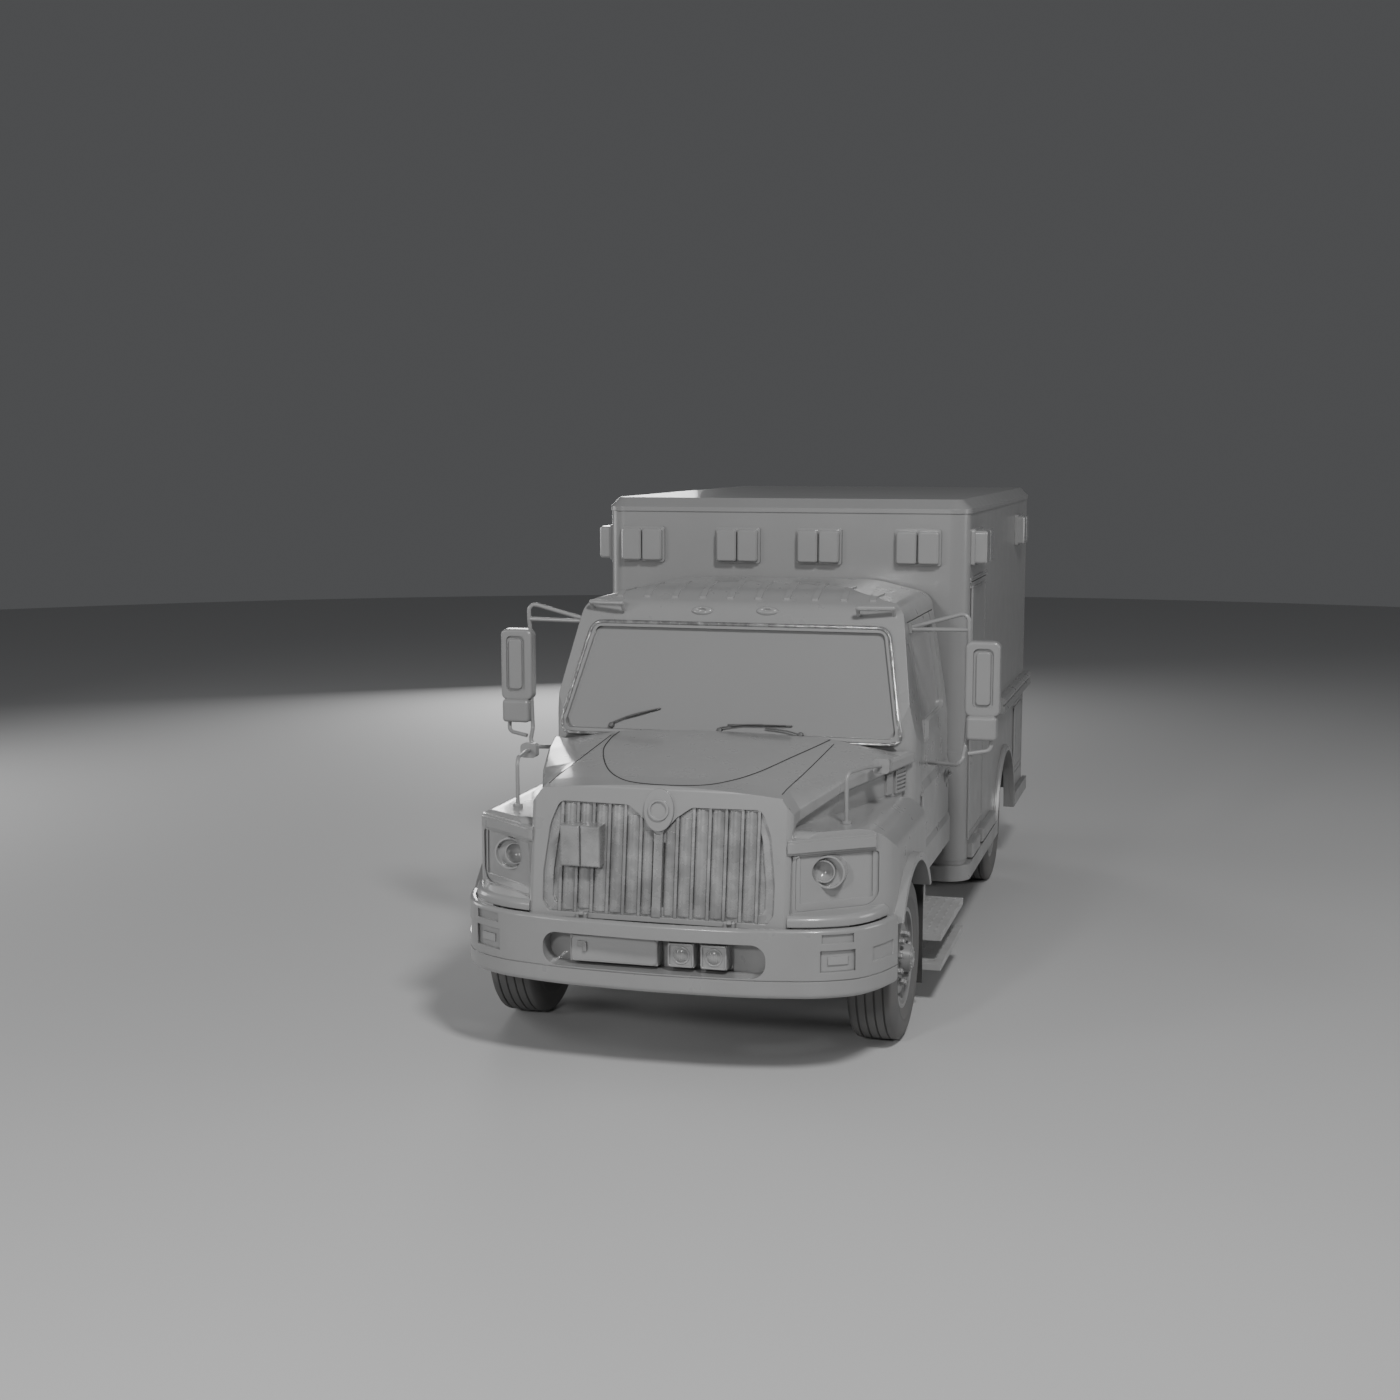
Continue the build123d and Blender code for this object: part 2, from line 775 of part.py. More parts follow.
def dashboard():
    """Dash across the cab, with the steering column and wheel on the left."""
    side = cab_half - cab_wall - 40
    dash = side_prism([(1120, 1350), (1160, 1560), (1380, 1600), (1400, 1300), (1300, cab_floor_top),
                       (1240, cab_floor_top), (1240, 1300)], -side, side)
    dash &= cab_form(cab_wall + seat_gap)
    wheel_y = 480.0
    wheel_x, wheel_z = 990.0, 1590.0
    hub = Plane(origin=(wheel_x, wheel_y, wheel_z), z_dir=(-0.72, 0, 0.69))
    ring = hub * Torus(235, 15)
    spokes = hub * Box(450, 34, 16)
    boss = hub * Cylinder(55, 40)
    column = rod((wheel_x, wheel_y, wheel_z), (1200, wheel_y, 1390), 34)
    return dash + ring + spokes + boss + column


def seats():
    """Two seats: pedestal, cushion and back in one solid each."""
    outline = [(250, cab_floor_top), (720, cab_floor_top), (720, 1230), (780, 1310), (760, 1400),
               (430, 1390), (330, 2060), (230, 2110), (190, 2060), (260, 1400), (230, 1300)]
    left = side_prism(outline, 230, 760, radius=18)
    return [left, mirrored(left)]


def cab_steps():
    """Two treads each side below the door, on brackets from the rail."""
    left = None
    for top in (445.0, 262.0):
        tread = block(350, 1330, 1010, 1285, top - 42, top)
        left = tread if left is None else left + tread
    for x in (520, 1180):
        left += block(x - 22, x + 22, 1010, 1060, 222, rail_low_z + 100)
        left += block(x - 22, x + 22, rail_half, 1060, rail_low_z + 50, rail_low_z + 100)
    return [left, mirrored(left)]


# Hood

# x, crown z, crease y, crease z, shoulder y, shoulder z, recess below the shoulder
hood_sections = (
    (fender_rear_x, 1660.0, 643.0, 1645.0, 1125.0, 1565.0, 45.0),
    (1820.0, 1648.0, 650.0, 1612.0, 1022.0, 1552.0, 45.0),
    (2330.0, 1618.0, 656.0, 1572.0, 870.0, 1526.0, 45.0),
    (2750.0, 1578.0, 662.0, 1540.0, nose_half, 1440.0, 42.0),
    (2835.0, 1566.0, 662.0, 1530.0, nose_half, 1436.0, 6.0),
    (3060.0, 1530.0, 663.0, 1500.0, nose_half, 1425.0, 6.0),
)


def hood_rear_line():
    """The hood's rear edge from above: straight across, then swept back round the screen."""
    return both_plan([
        (1000, 0), (1000, 1400), (fender_rear_x, 1400), (fender_rear_x, 1128),
        (hood_rear_x, 1005), (hood_rear_x, 0),
    ])


def hood_section(row, inset):
    """Cross-section of the bonnet: a crown between creases, then a rolled shoulder and its recess."""
    x, crown, crease_y, crease_z, shoulder_y, shoulder_z, recess = row
    side = shoulder_y - inset
    crease = (crease_y - inset * 0.5, crease_z - inset)
    half = [
        (side - recess, 600),
        (side - recess, shoulder_z - 92),
        (side, shoulder_z - 62, 10),
        (side, shoulder_z - inset, 22),
        crease,
    ]
    mirror_half = [(-point[0],) + point[1:] for point in half]
    edges = rounded_edges(mirror_half[::-1] + half, closed=False)
    edges.append(ThreePointArc(crease, (0, crown - inset), (-crease[0], crease[1])))
    plane = Plane(origin=(x, 0, 0), x_dir=(0, 1, 0), z_dir=(1, 0, 0))
    return plane * make_face(edges)


def hood_bonnet(inset):
    """Centre of the hood, ruled from section to section."""
    return loft([hood_section(row, inset) for row in hood_sections], ruled=True)


def fender_plan(inset):
    """Left fender from above: lamp face swept back, then the straight flank."""
    side = fender_half - inset
    return [
        (fender_rear_x + inset, 640),
        (2935 - inset, 640),
        (2930 - inset, nose_half, 80),
        (2800 - inset, 885),
        (2620 - inset, 1118 - inset * 0.4, 330),
        (2520 - inset, side - 20, 240),
        (2400, side, 450),
        (fender_rear_x + inset, side),
    ]


def fender_side(inset):
    """Left fender from its side."""
    return [
        (fender_rear_x + inset, 790),
        (fender_rear_x + inset, 1150, 240),
        (1500 + inset, 1300, 170),
        (1700, fender_top_z - inset, 850),
        (2856 - inset, fender_top_z - inset, 55),
        (2905 - inset, 1220, 280),
        (2940 - inset, fender_foot_z - 1),
        (2545, fender_foot_z - 1),
        (2545, 790),
    ]


def fender_front(inset):
    """Left fender from the front: the crown rolls down into the flank."""
    side = fender_half - inset
    top = fender_top_z - inset
    return [
        (640, 700),
        (side, 700),
        (side, top, 180 - inset),
        (640, top),
    ]


def fender_form(inset):
    form = side_prism(fender_side(inset), 600, fender_half)
    form &= plan_prism(fender_plan(inset), 600, 1500)
    form &= front_prism(fender_front(inset), 1300, 3000)
    return form


lamp_low_z = 918.0
lamp_high_z = 1212.0
lamp_inner_y = 742.0
lamp_outer_y = 1128.0
lamp_x = 2560.0
round_lamp_z = 1121.0


def lamp_region(grow):
    outline = [
        (lamp_inner_y, lamp_low_z, 20), (lamp_outer_y, lamp_low_z, 75),
        (lamp_outer_y, lamp_high_z, 20), (lamp_inner_y, lamp_high_z, 20),
    ]
    return front_prism(outline, lamp_x - grow, 3100, grow=grow)


nose_lean = (nose_foot_x - nose_top_x) / (nose_top_z - nose_foot_z)
nose_corner = 45.0
nose_wall = 50.0
nose_back_x = nose_foot_x - 60.0


def nose_x(z):
    """The nose's plane at a height."""
    return nose_foot_x - nose_lean * (z - nose_foot_z)


def nose_plane_cut():
    """Everything ahead of the raked nose, with a rolled edge up to the bonnet."""
    low, high = nose_foot_z - 300, nose_top_z + 8
    run = 600.0
    return side_prism([
        (nose_x(low), low),
        (nose_x(high), high, 30),
        (nose_x(high) - run, high + run * 0.15),
        (nose_x(high) - run, 2000),
        (3600, 2000),
        (3600, low),
    ], -1400, 1400)


def nose_corners():
    """Upright prism, leant back with the nose, that rounds its two front edges."""
    prism = plan_prism(both_plan([
        (900, 0), (900, 1600), (2690, 1600), (2850, nose_half),
        (nose_foot_x + 2, nose_half, nose_corner), (nose_foot_x + 2, 0),
    ]), -500, 2000)
    return Pos(nose_foot_x, 0, nose_foot_z) * Rot(0, -degrees(atan(nose_lean)), 0) \
        * Pos(-nose_foot_x, 0, -nose_foot_z) * prism


def nose_slab(near, far, y0, y1):
    """Layer behind the nose's plane, between two depths."""
    low, high = nose_foot_z - 10, nose_top_z
    return side_prism([
        (nose_x(low) - far, low), (nose_x(low) - near, low),
        (nose_x(high) - near, high), (nose_x(high) - far, high),
    ], y0, y1)


grille_opening = both_halves([
    (0, 862),
    (606, 862, 22),
    (641, 912, 35),
    (643, 1070, 300),
    (612, 1330, 250),
    (560, 1455, 50),
    (178, 1450, 45),
    (95, 1392, 40),
    (14, 1300, 12),
])
grille_field = both_halves([
    (0, 912),
    (575, 905, 20),
    (591, 940, 25),
    (591, 1070, 250),
    (562, 1315, 200),
    (523, 1402, 20),
    (200, 1398, 20),
    (130, 1350, 20),
    (44, 1255, 12),
])
grille_bar_count = 6
grille_bar_first = 101.0
grille_bar_pitch = 89.0
grille_bar_half = 8.0


def side_vent():
    """Slatted vent and the plain panel ahead of it, on the left wall below the shoulder."""
    turn = Rot(0, 0, -14.6)
    vent = Box(150, 24, 136)
    for k in range(5):
        vent -= Pos(0, 9, -46 + 23 * k) * Box(122, 12, 11)
    panel = Box(80, 22, 120)
    vent = Pos(1532, 1055, 1406) * turn * vent + Pos(1684, 1015, 1406) * turn * panel
    return vent - plan_prism(hood_rear_line(), 0, 2000)


def fender_foot():
    """Left fender's foot: a rolled lip that follows the bumper's curve from the nose outwards."""
    top = lamp_low_z - 6
    foot = plan_prism(bumper_outline, bumper_top_z + 6, top, grow=-40)
    rim = foot.faces().sort_by(Axis.Z)[-1].edges()
    foot = fillet([edge for edge in rim if edge.center().X > bumper_back_x + 1], 34)
    foot -= plan_prism(bumper_outline, 800, top - 26, grow=-72)
    return foot & block(2570, 3010, nose_half - 12, 1400, 0, 1000)


def hood_shell():
    """Hood, nose and both fenders, in one hollow shell that is open below."""
    form = hood_bonnet(0) - nose_plane_cut()
    form &= nose_corners()
    form -= plan_prism(hood_rear_line(), 0, 2000)
    left = fender_form(0)
    form += left
    form += mirrored(left)
    brow = plan_prism(fender_plan(-26), 1238, 1292) + plan_prism(fender_plan(-16), 1226, 1306)
    brow &= block(2560, 3000, nose_half - 20, 1120, 0, 3000)
    form += brow
    form += mirrored(brow)
    form -= block(1000, 3400, -1400, 1400, 0, 790)
    form -= block(2545, 3400, -1400, 1400, 0, nose_foot_z)
    form -= block(2545, nose_back_x, -1400, 1400, 0, fender_foot_z)
    for side in (1, -1):
        low, high = sorted((side * nose_half, side * 1400))
        form -= block(2545, 3400, low, high, 0, fender_foot_z)
    foot = fender_foot()
    form += foot
    form += mirrored(foot)
    room = hood_bonnet(hood_wall)
    room &= block(1000, nose_back_x, -1400, 1400, 0, 3000)
    room -= Pos(hood_wall, 0, 0) * plan_prism(hood_rear_line(), 0, 2000)
    lip_cut = nose_plane_cut()
    room -= Pos(-nose_wall, 0, 0) * lip_cut
    form -= room
    bay = fender_form(hood_wall)
    bay &= block(1000, nose_foot_x, nose_half - 60, 1400, 0, 3000)
    form -= bay
    form -= mirrored(bay)
    form -= block(1000, 2880, -(nose_half - 60), nose_half - 60, 0, 1200)
    for side in (1, -1):
        low, high = sorted((side * 640, side * 1300))
        form -= cross_cylinder(front_axle_x, tyre_radius, front_arch_radius, low, high)
        low, high = sorted((side * (fender_half - 60), side * flare_half))
        flare = cross_cylinder(front_axle_x, tyre_radius, front_arch_radius + flare_width, low, high)
        flare -= cross_cylinder(front_axle_x, tyre_radius, front_arch_radius, low, high)
        flare -= block(1000, 3400, low, high, -200, 790)
        flare &= block(fender_rear_x, 2543, low, high, 0, 2000)
        form += flare
    form -= front_prism(grille_opening, nose_top_x - 140, 3100)
    vent = side_vent()
    form += vent
    form += mirrored(vent)
    lamp_hole = lamp_region(0)
    form -= lamp_hole
    form -= mirrored(lamp_hole)
    eye = hood_hinge_eye()
    return form + eye + mirrored(eye)


def grille():
    """Upright bars and a centre rib on a back plate, with the double lamp on the right."""
    field = front_prism(grille_opening, 2700, 3200, grow=-seat_gap)
    deep = nose_wall - 12
    solid = nose_slab(deep, nose_wall, -700, 700) & field
    solid += (nose_slab(22, deep + 4, -700, 700) & field) - front_prism(grille_field, 2690, 3210)
    bars = []
    for k in range(grille_bar_count):
        y = grille_bar_first + grille_bar_pitch * k
        bar = nose_slab(8, deep + 6, y - grille_bar_half, y + grille_bar_half) & field
        bars += [bar, mirrored(bar)]
    solid += bars
    solid += nose_slab(-3, deep + 6, -24, 24) & field
    solid -= boss_form(seat_gap, 100)
    return solid + grille_lamp()


grille_lamp_low = 1118.0
grille_lamp_high = 1342.0
grille_lamp_ys = (-474.0, -360.0)
grille_lamp_proud = 74.0


def grille_lamp():
    """Double lamp on the bars."""
    front = nose_x((grille_lamp_low + grille_lamp_high) / 2) + grille_lamp_proud
    back = front - 50
    lamp = block(back - 66, back, grille_lamp_ys[0] - 50, grille_lamp_ys[-1] + 50,
                 grille_lamp_low + 8, grille_lamp_high - 8)
    for y in grille_lamp_ys:
        lens = block(front - 112, front, y - 55, y + 55, grille_lamp_low, grille_lamp_high)
        lamp += fillet(lens.faces().sort_by(Axis.X)[-1].edges(), 12)
    return lamp


boss_z = 1431.0
boss_depth = 40.0


def boss_plane():
    return Plane(origin=(nose_x(boss_z), 0, boss_z), x_dir=(0, 1, 0), z_dir=(1, 0, nose_lean))


def boss_form(grow, rise):
    """Oval block through the nose's plane."""
    depth = boss_depth + grow
    return extrude(boss_plane().offset(-depth) * Ellipse(82 + grow, 114 + grow), amount=depth + rise)


def emblem_boss():
    """Plain oval boss in the middle of the nose, with a round rim and a domed middle."""
    rim = Circle(58) - Circle(44)
    boss = boss_form(0, 18) + extrude(boss_plane().offset(16) * rim, amount=11)
    return boss + Pos(nose_x(boss_z), 0, boss_z) * Sphere(32)


round_ring_y = 896.0
ring_radius = 89.0
bowl_y = 868.0
bowl_radius = 54.0


def headlamps():
    """Left and right lamps: a lens that carries on the fender's form, with a round lamp let in."""
    z = round_lamp_z
    lens = (fender_form(7) - fender_form(hood_wall)) & lamp_region(-seat_gap)
    border = lens - block(2500, 3100, lamp_inner_y + 20, lamp_outer_y - 30,
                          lamp_low_z + 44, lamp_high_z)
    left = (lens & fender_form(13)) + border
    left -= rod((2700, round_ring_y, z), (2900, round_ring_y, z), ring_radius - 8)
    left += rod((2718, round_ring_y, z), (2812, round_ring_y, z), ring_radius)
    left -= rod((2776, round_ring_y, z), (2900, round_ring_y, z), ring_radius - 10)
    left += rod((2740, bowl_y, z), (2800, bowl_y, z), bowl_radius + 8)
    left -= Pos(2804, bowl_y, z) * Sphere(bowl_radius)
    return [left, mirrored(left)]


def hood_mirrors():
    """Round-headed hood mirrors, each on a bent stalk with a foot on the fender's crown."""
    y = 940.0
    x = 2558.0
    foot = upright(x, y, fender_top_z, fender_top_z + 16, 28)
    head_x, head_y, head_z = 2060.0, 1045.0, 1580.0
    stalk = bent_tube([(x, y, fender_top_z + 4), (x, y, 1612), (2300, y + 56, 1604),
                       (head_x + 20, head_y, head_z)], 11, 45)
    head = block(head_x - 14, head_x + 44, head_y - 48, head_y + 48, head_z - 42, head_z + 42)
    head = fillet(head.edges().filter_by(Axis.X), 22)
    left = foot + stalk + head
    return [left, mirrored(left)]


# Bumper

bumper_slot_half = 616.0
bumper_slot_low = 586.0
bumper_slot_high = 767.0


bumper_seam_z = 574.0
bumper_outline = both_plan([
    (bumper_back_x, 0),
    (bumper_back_x, bumper_half),
    (bumper_end_x, bumper_half, 300),
    (2735, 1170, 650),
    (2887, 1078, 340),
    (3005, 880, 650),
    (3085, 520, 1700),
    (bumper_front_x, 0, 2500),
])
bumper_slot = [
    (-bumper_slot_half, bumper_slot_low), (bumper_slot_half, bumper_slot_low),
    (bumper_slot_half, bumper_slot_high), (-bumper_slot_half, bumper_slot_high),
]


def bumper_skin(depth, region):
    """Outer layer of the bumper down to a depth, inside a region."""
    layer = plan_prism(bumper_outline, 400, 900, grow=5)
    layer -= plan_prism(bumper_outline, 390, 910, grow=-depth)
    return layer & region


def bumper_form():
    """Outside of the bumper, with its upper and lower edges rolled."""
    form = plan_prism(bumper_outline, bumper_low_z, bumper_top_z)
    for place, radius in ((-1, 20), (0, 28)):
        rim = form.faces().sort_by(Axis.Z)[place].edges()
        form = fillet([edge for edge in rim if edge.center().X > bumper_back_x + 1], radius)
    return form


def front_bumper():
    """Wrap-round bumper with the centre slot, the lamp pockets and its brackets."""
    solid = bumper_form()
    solid -= plan_prism(bumper_outline, bumper_low_z - 10, bumper_top_z + 10, grow=-bumper_wall)
    solid &= block(bumper_end_x, 3200, -1300, 1300, 0, 1000)
    solid -= bumper_skin(5, block(bumper_back_x, 3200, -1400, 1400, bumper_seam_z, bumper_seam_z + 5))
    solid -= front_prism(bumper_slot, 2960, 3200, radius=80)
    tray = block(bumper_tray_x, 3090, -680, 680, 560, 800)
    tray &= plan_prism(bumper_outline, 500, 820, grow=-8)
    tray -= front_prism(bumper_slot, bumper_tray_x + 15, 3200, radius=80)
    solid += tray
    cuts = (
        fog_pocket(0),
        bumper_skin(12, block(2700, 3100, 900, 1052, 776, 824)),
        bumper_skin(7, block(2600, 2790, 1130, 1260, 650, 730)),
    )
    for cut in cuts:
        solid -= cut
        solid -= mirrored(cut)
    ears = bumper_hinge_ears()
    return solid + ears + mirrored(ears)


def bumper_hinge_ears():
    """Two ears and the pin that carry the hood's left eye."""
    x, z = hood_hinge_x, hood_hinge_z
    ears = cross_cylinder(x, z, hood_pin_radius, hood_hinge_y - 32, hood_hinge_y + 32)
    for side in (1, -1):
        near = hood_hinge_y + side * (hood_eye_half + hinge_run)
        y0, y1 = sorted((near, near + side * 18))
        ears += block(x - 9, x + 9, y0, y1, 790, z)
        ears += cross_cylinder(x, z, 9, y0, y1)
    return ears


def hood_hinge_eye():
    """Left eye under the nose's foot."""
    x, z = hood_hinge_x, hood_hinge_z
    low, high = hood_hinge_y - hood_eye_half, hood_hinge_y + hood_eye_half
    eye = block(nose_foot_x - 40, x, low, high, nose_foot_z, nose_foot_z + 22)
    eye += cross_cylinder(x, z, 14, low, high)
    return eye - cross_cylinder(x, z, hood_pin_radius + shaft_clearance, low - 1, high + 1)


def fog_pocket(grow):
    return block(2700, 3100, 892 - grow, 1060 + grow, 622 - grow, 738 + grow)


def bumper_lamps():
    """Fog lamps in their pockets, and the speaker and small lamps in the centre slot."""
    fog = bumper_skin(bumper_wall, fog_pocket(-seat_gap)) - bumper_skin(18, fog_pocket(1))
    fog += bumper_skin(bumper_wall, fog_pocket(-36)) - bumper_skin(10, fog_pocket(1))
    back = bumper_tray_x + 15 + seat_gap
    speaker = block(back, 3030, -470, 20, 606, 750)
    pair = []
    for y in (150.0, 330.0):
        pair.append(block(back, 3035, y - 72, y + 72, 612, 742))
    return [fog, mirrored(fog), speaker] + pair


# Patient module

module_back_x = -module_length

# name, side, front x, rear x, low z, high z
module_doors = (
    ("left_front_locker", 1, -160.0, -960.0, 706.0, 2450.0),
    ("left_rear_locker", 1, -2900.0, -3540.0, 706.0, 1290.0),
    ("side_door", -1, -900.0, -1650.0, 706.0, 2480.0),
    ("right_rear_locker", -1, -2900.0, -3540.0, 706.0, 1290.0),
)
locker_depth = 460.0
locker_skin = 15.0
front_gap_half = 860.0
rear_opening_half = 660.0
rear_door_low = 1000.0
rear_door_high = 2520.0


def module_plan(grow):
    """Rounded rectangle of the module from above."""
    half = module_half + grow
    return [
        (grow, -half), (grow, half),
        (module_back_x - grow, half), (module_back_x - grow, -half),
    ]


def module_prism(grow, z0, z1):
    return plan_prism(module_plan(grow), z0, z1, radius=module_corner + grow)


def module_walls():
    """Front, left, right and rear walls, with the doors' openings and the wheel arches cut."""
    ring = module_prism(0, skirt_z, drip_z) - module_prism(-wall, skirt_z - 1, drip_z + 1)
    rear_line = module_back_x + corner_depth
    big = 4000
    front = ring & block(-corner_depth, 10, -big, big, 0, big)
    front -= block(-wall - 1, 10, -front_gap_half, front_gap_half, 0, floor_top - floor_thick)
    rear = ring & block(-big, rear_line, -big, big, 0, big)
    rear -= block(-big, rear_line, -rail_half - 20, rail_half + 20, 0, rail_low_z + 20)
    left = block(rear_line, -corner_depth, module_half - wall, module_half, skirt_z, drip_z)
    walls = {"left": left, "right": mirrored(left)}
    arch = cross_cylinder(rear_axle_x, tyre_radius, rear_arch_radius, -big, big)
    for key in walls:
        walls[key] -= arch
    doors = {}
    for name, side, front_x, rear_x, low, high in module_doors:
        key = "left" if side > 0 else "right"
        y0, y1 = sorted((side * (module_half - wall), side * module_half))
        gap = door_gap
        walls[key] -= block(rear_x - gap, front_x + gap, y0 - 1, y1 + 1, low - gap, high + gap)
        door = block(rear_x, front_x, y0, y1, low, high)
        hinge_x = front_x + gap / 2
        hinge_y = side * (module_half + barrel_radius)
        fixed, moving = piano_hinge(hinge_x, hinge_y, low + 20, high - 20, (-1, 0), (0, side))
        walls[key] += fixed
        doors[name] = door + moving
    opening = block(module_back_x - 1, module_back_x + wall + 1,
                    -rear_opening_half, rear_opening_half, rear_door_low, rear_door_high)
    rear -= opening
    for side, name in ((1, "rear_left_door"), (-1, "rear_right_door")):
        y0, y1 = sorted((side * door_gap / 2, side * (rear_opening_half - door_gap)))
        door = block(module_back_x, module_back_x + wall, y0, y1,
                     rear_door_low + door_gap, rear_door_high - door_gap)
        hinge_x = module_back_x - barrel_radius
        hinge_y = side * (rear_opening_half - door_gap / 2)
        fixed, moving = piano_hinge(hinge_x, hinge_y, rear_door_low + 25, rear_door_high - 25,
                                    (0, -side), (-1, 0))
        rear += fixed
        doors[name] = door + moving
    return front, walls["left"], walls["right"], rear, doors


pane_low = 1720.0
pane_high = 2260.0
pane_radius = 60.0


def rear_pane(side, grow):
    y0, y1 = sorted((side * (150 - grow), side * (530 + grow)))
    points = [(y0, pane_low - grow), (y1, pane_low - grow), (y1, pane_high + grow),
              (y0, pane_high + grow)]
    return front_prism(points, module_back_x - 20, module_back_x + wall + 20,
                       radius=pane_radius + grow)


def side_pane(grow):
    points = [(-1470 - grow, pane_low - grow), (-1080 + grow, pane_low - grow),
              (-1080 + grow, pane_high + grow), (-1470 - grow, pane_high + grow)]
    return side_prism(points, -module_half - 20, -module_half + wall + 20,
                      radius=pane_radius + grow)


def module_roof():
    """Roof cap with a chamfered brow and a drip edge."""
    cap = module_prism(8, drip_z, module_top)
    top = cap.faces().sort_by(Axis.Z)[-1]
    return chamfer(top.edges(), 62)


def lockers():
    """Sheet boxes behind the locker doors, open on their outer side."""
    boxes = []
    for name, side, front_x, rear_x, low, high in module_doors:
        if name == "side_door":
            continue
        x0, x1 = rear_x - 20, front_x + 20
        y_out = module_half - wall
        y_in = y_out - locker_depth
        y0, y1 = sorted((side * y_in, side * y_out))
        box = block(x0, x1, y0, y1, low - 25, high + 25)
        y0, y1 = sorted((side * (y_in + locker_skin), side * (y_out + 1)))
        box -= block(x0 + locker_skin, x1 - locker_skin, y0, y1, low - 25 + locker_skin,
                     high + 25 - locker_skin)
        boxes.append(box)
    return boxes


def module_floor():
    """Floor plate, notched where the lockers and the side door's step well pass through."""
    inset = wall + seat_gap
    plate = module_prism(-inset, floor_top - floor_thick, floor_top)
    for name, side, front_x, rear_x, low, high in module_doors:
        y_out = module_half - wall
        y0, y1 = sorted((side * (y_out - locker_depth - seat_gap), side * (y_out + 10)))
        plate -= block(rear_x - 20 - seat_gap, front_x + 20 + seat_gap, y0, y1, 0, 3000)
    return plate


def cabinets():
    """Inside the module: wall cabinet on the left, and the bench with its back on the right."""
    low = floor_top
    left = block(-2840, -1010, 720, module_half - wall, low, 1960)
    left += block(-3560, -1010, 860, module_half - wall, 1960, 2560)
    bench = block(-2840, -1760, -(module_half - wall), -640, low, low + 420)
    far = -(module_half - wall)
    near = far + locker_depth
    step = block(-1670, -880, far, near, 675, 700)
    step += block(-1670, -880, near - 15, near, 675, floor_top)
    step += block(-1670, -1655, far, near, 675, floor_top)
    step += block(-895, -880, far, near, 675, floor_top)
    return [left, bench, step]


def skirt_rails():
    """Rub rails round the skirt, the side rails and the two low boxes on each skirt."""
    high = 577.0
    reach = rear_arch_radius + arch_ring_width + 10
    ring = module_prism(35, skirt_z, high) - module_prism(seat_gap, skirt_z - 1, high + 1)
    front = ring & block(rear_axle_x + reach, 60, -1400, 1400, 0, 1000)
    front -= block(-10, 60, -front_gap_half, front_gap_half, 0, 1000)
    solids = [solid for solid in front.solids()]
    near = module_half + seat_gap
    rear = block(-3690, rear_axle_x - reach, near, module_half + 35, skirt_z, high)
    for piece in (rear, side_rail(), arch_ring()):
        solids += [piece, mirrored(piece)]
    for x0, x1 in ((-600.0, -220.0), (-1470.0, -770.0)):
        box = block(x0, x1, near, module_half + 40, high + 13, high + 108)
        box = chamfer(box.faces().sort_by(Axis.Y)[-1].edges(), 8)
        solids += [box, mirrored(box)]
    return solids


arch_ring_width = 44.0


def arch_ring():
    """Flared lip round the rear wheels' opening."""
    y0, y1 = module_half + seat_gap, module_half + 34
    ring = cross_cylinder(rear_axle_x, tyre_radius, rear_arch_radius + arch_ring_width, y0, y1)
    ring = chamfer(ring.faces().sort_by(Axis.Y)[-1].edges(), 16)
    ring -= cross_cylinder(rear_axle_x, tyre_radius, rear_arch_radius, y0 - 1, y1 + 1)
    return ring & block(-4000, 0, y0 - 1, y1 + 1, skirt_z, 2000)


def side_rail():
    """Double-ridged rub rail along the module's waist."""
    y = module_half + seat_gap
    low = 1356.0
    section = [(y, low), (y + 50, low), (y + 62, low + 20), (y + 52, low + 50), (y + 34, low + 60),
               (y + 52, low + 70), (y + 62, low + 100), (y + 50, low + 120), (y, low + 120)]
    return front_prism(section, -3640, -1800)


lamp_low, lamp_high = 2578.0, 2795.0
front_lamp_width = 280.0
front_lamp_ys = (-975.0, -310.0, 245.0, 905.0)
# x, width, depth
side_lamps = (
    (-320.0, 370.0, 104.0),
    (-2890.0, 300.0, 74.0),
)


def double_lamp(width, depth):
    """Lamp with two lenses side by side on one base, facing +X at the origin."""
    half = width / 2
    tall = (lamp_high - lamp_low) / 2
    base = block(0, 26, -half - 12, half + 12, -tall - 12, tall + 12)
    base = fillet(base.edges().filter_by(Axis.X), 16)
    for side in (-1, 1):
        y0, y1 = sorted((side * 4, side * half))
        lens = block(20, depth, y0, y1, -tall, tall)
        lens = fillet(lens.edges().filter_by(Axis.X), 20)
        lens = chamfer(lens.faces().sort_by(Axis.X)[-1].edges(), 10)
        base += lens
    return base


def warning_lamps():
    """Double lamps on the module's front, sides and rear, and the lamps at its tail."""
    z = (lamp_low + lamp_high) / 2
    lamps = []
    lamp = double_lamp(front_lamp_width, lamp_depth)
    for y in front_lamp_ys:
        lamps.append(Pos(seat_gap, y, z) * lamp)
        lamps.append(Pos(module_back_x - seat_gap, y, z) * Rot(0, 0, 180) * lamp)
    for x, width, depth in side_lamps:
        lamp = double_lamp(width, depth)
        lamps.append(Pos(x, module_half + seat_gap, z) * Rot(0, 0, 90) * lamp)
        lamps.append(Pos(x, -module_half - seat_gap, z) * Rot(0, 0, -90) * lamp)
    for side in (1, -1):
        y0, y1 = sorted((side * 900, side * 1060))
        lamps.append(block(module_back_x - 45, module_back_x - seat_gap, y0, y1, 760, 1260))
    return lamps


def rear_step():
    """Tread plate behind the rear doors on two brackets from the rails."""
    x0 = rear_step_x
    tread = block(x0, module_back_x - 5, -780, 780, 470, 515)
    for side in (1, -1):
        y0, y1 = sorted((side * 400, side * rail_half))
        tread += block(x0 + 120, -3560, y0, y1, 470, 540)
        tread += block(-3620, -3560, y0, y1, 470, rail_low_z)
    return tread


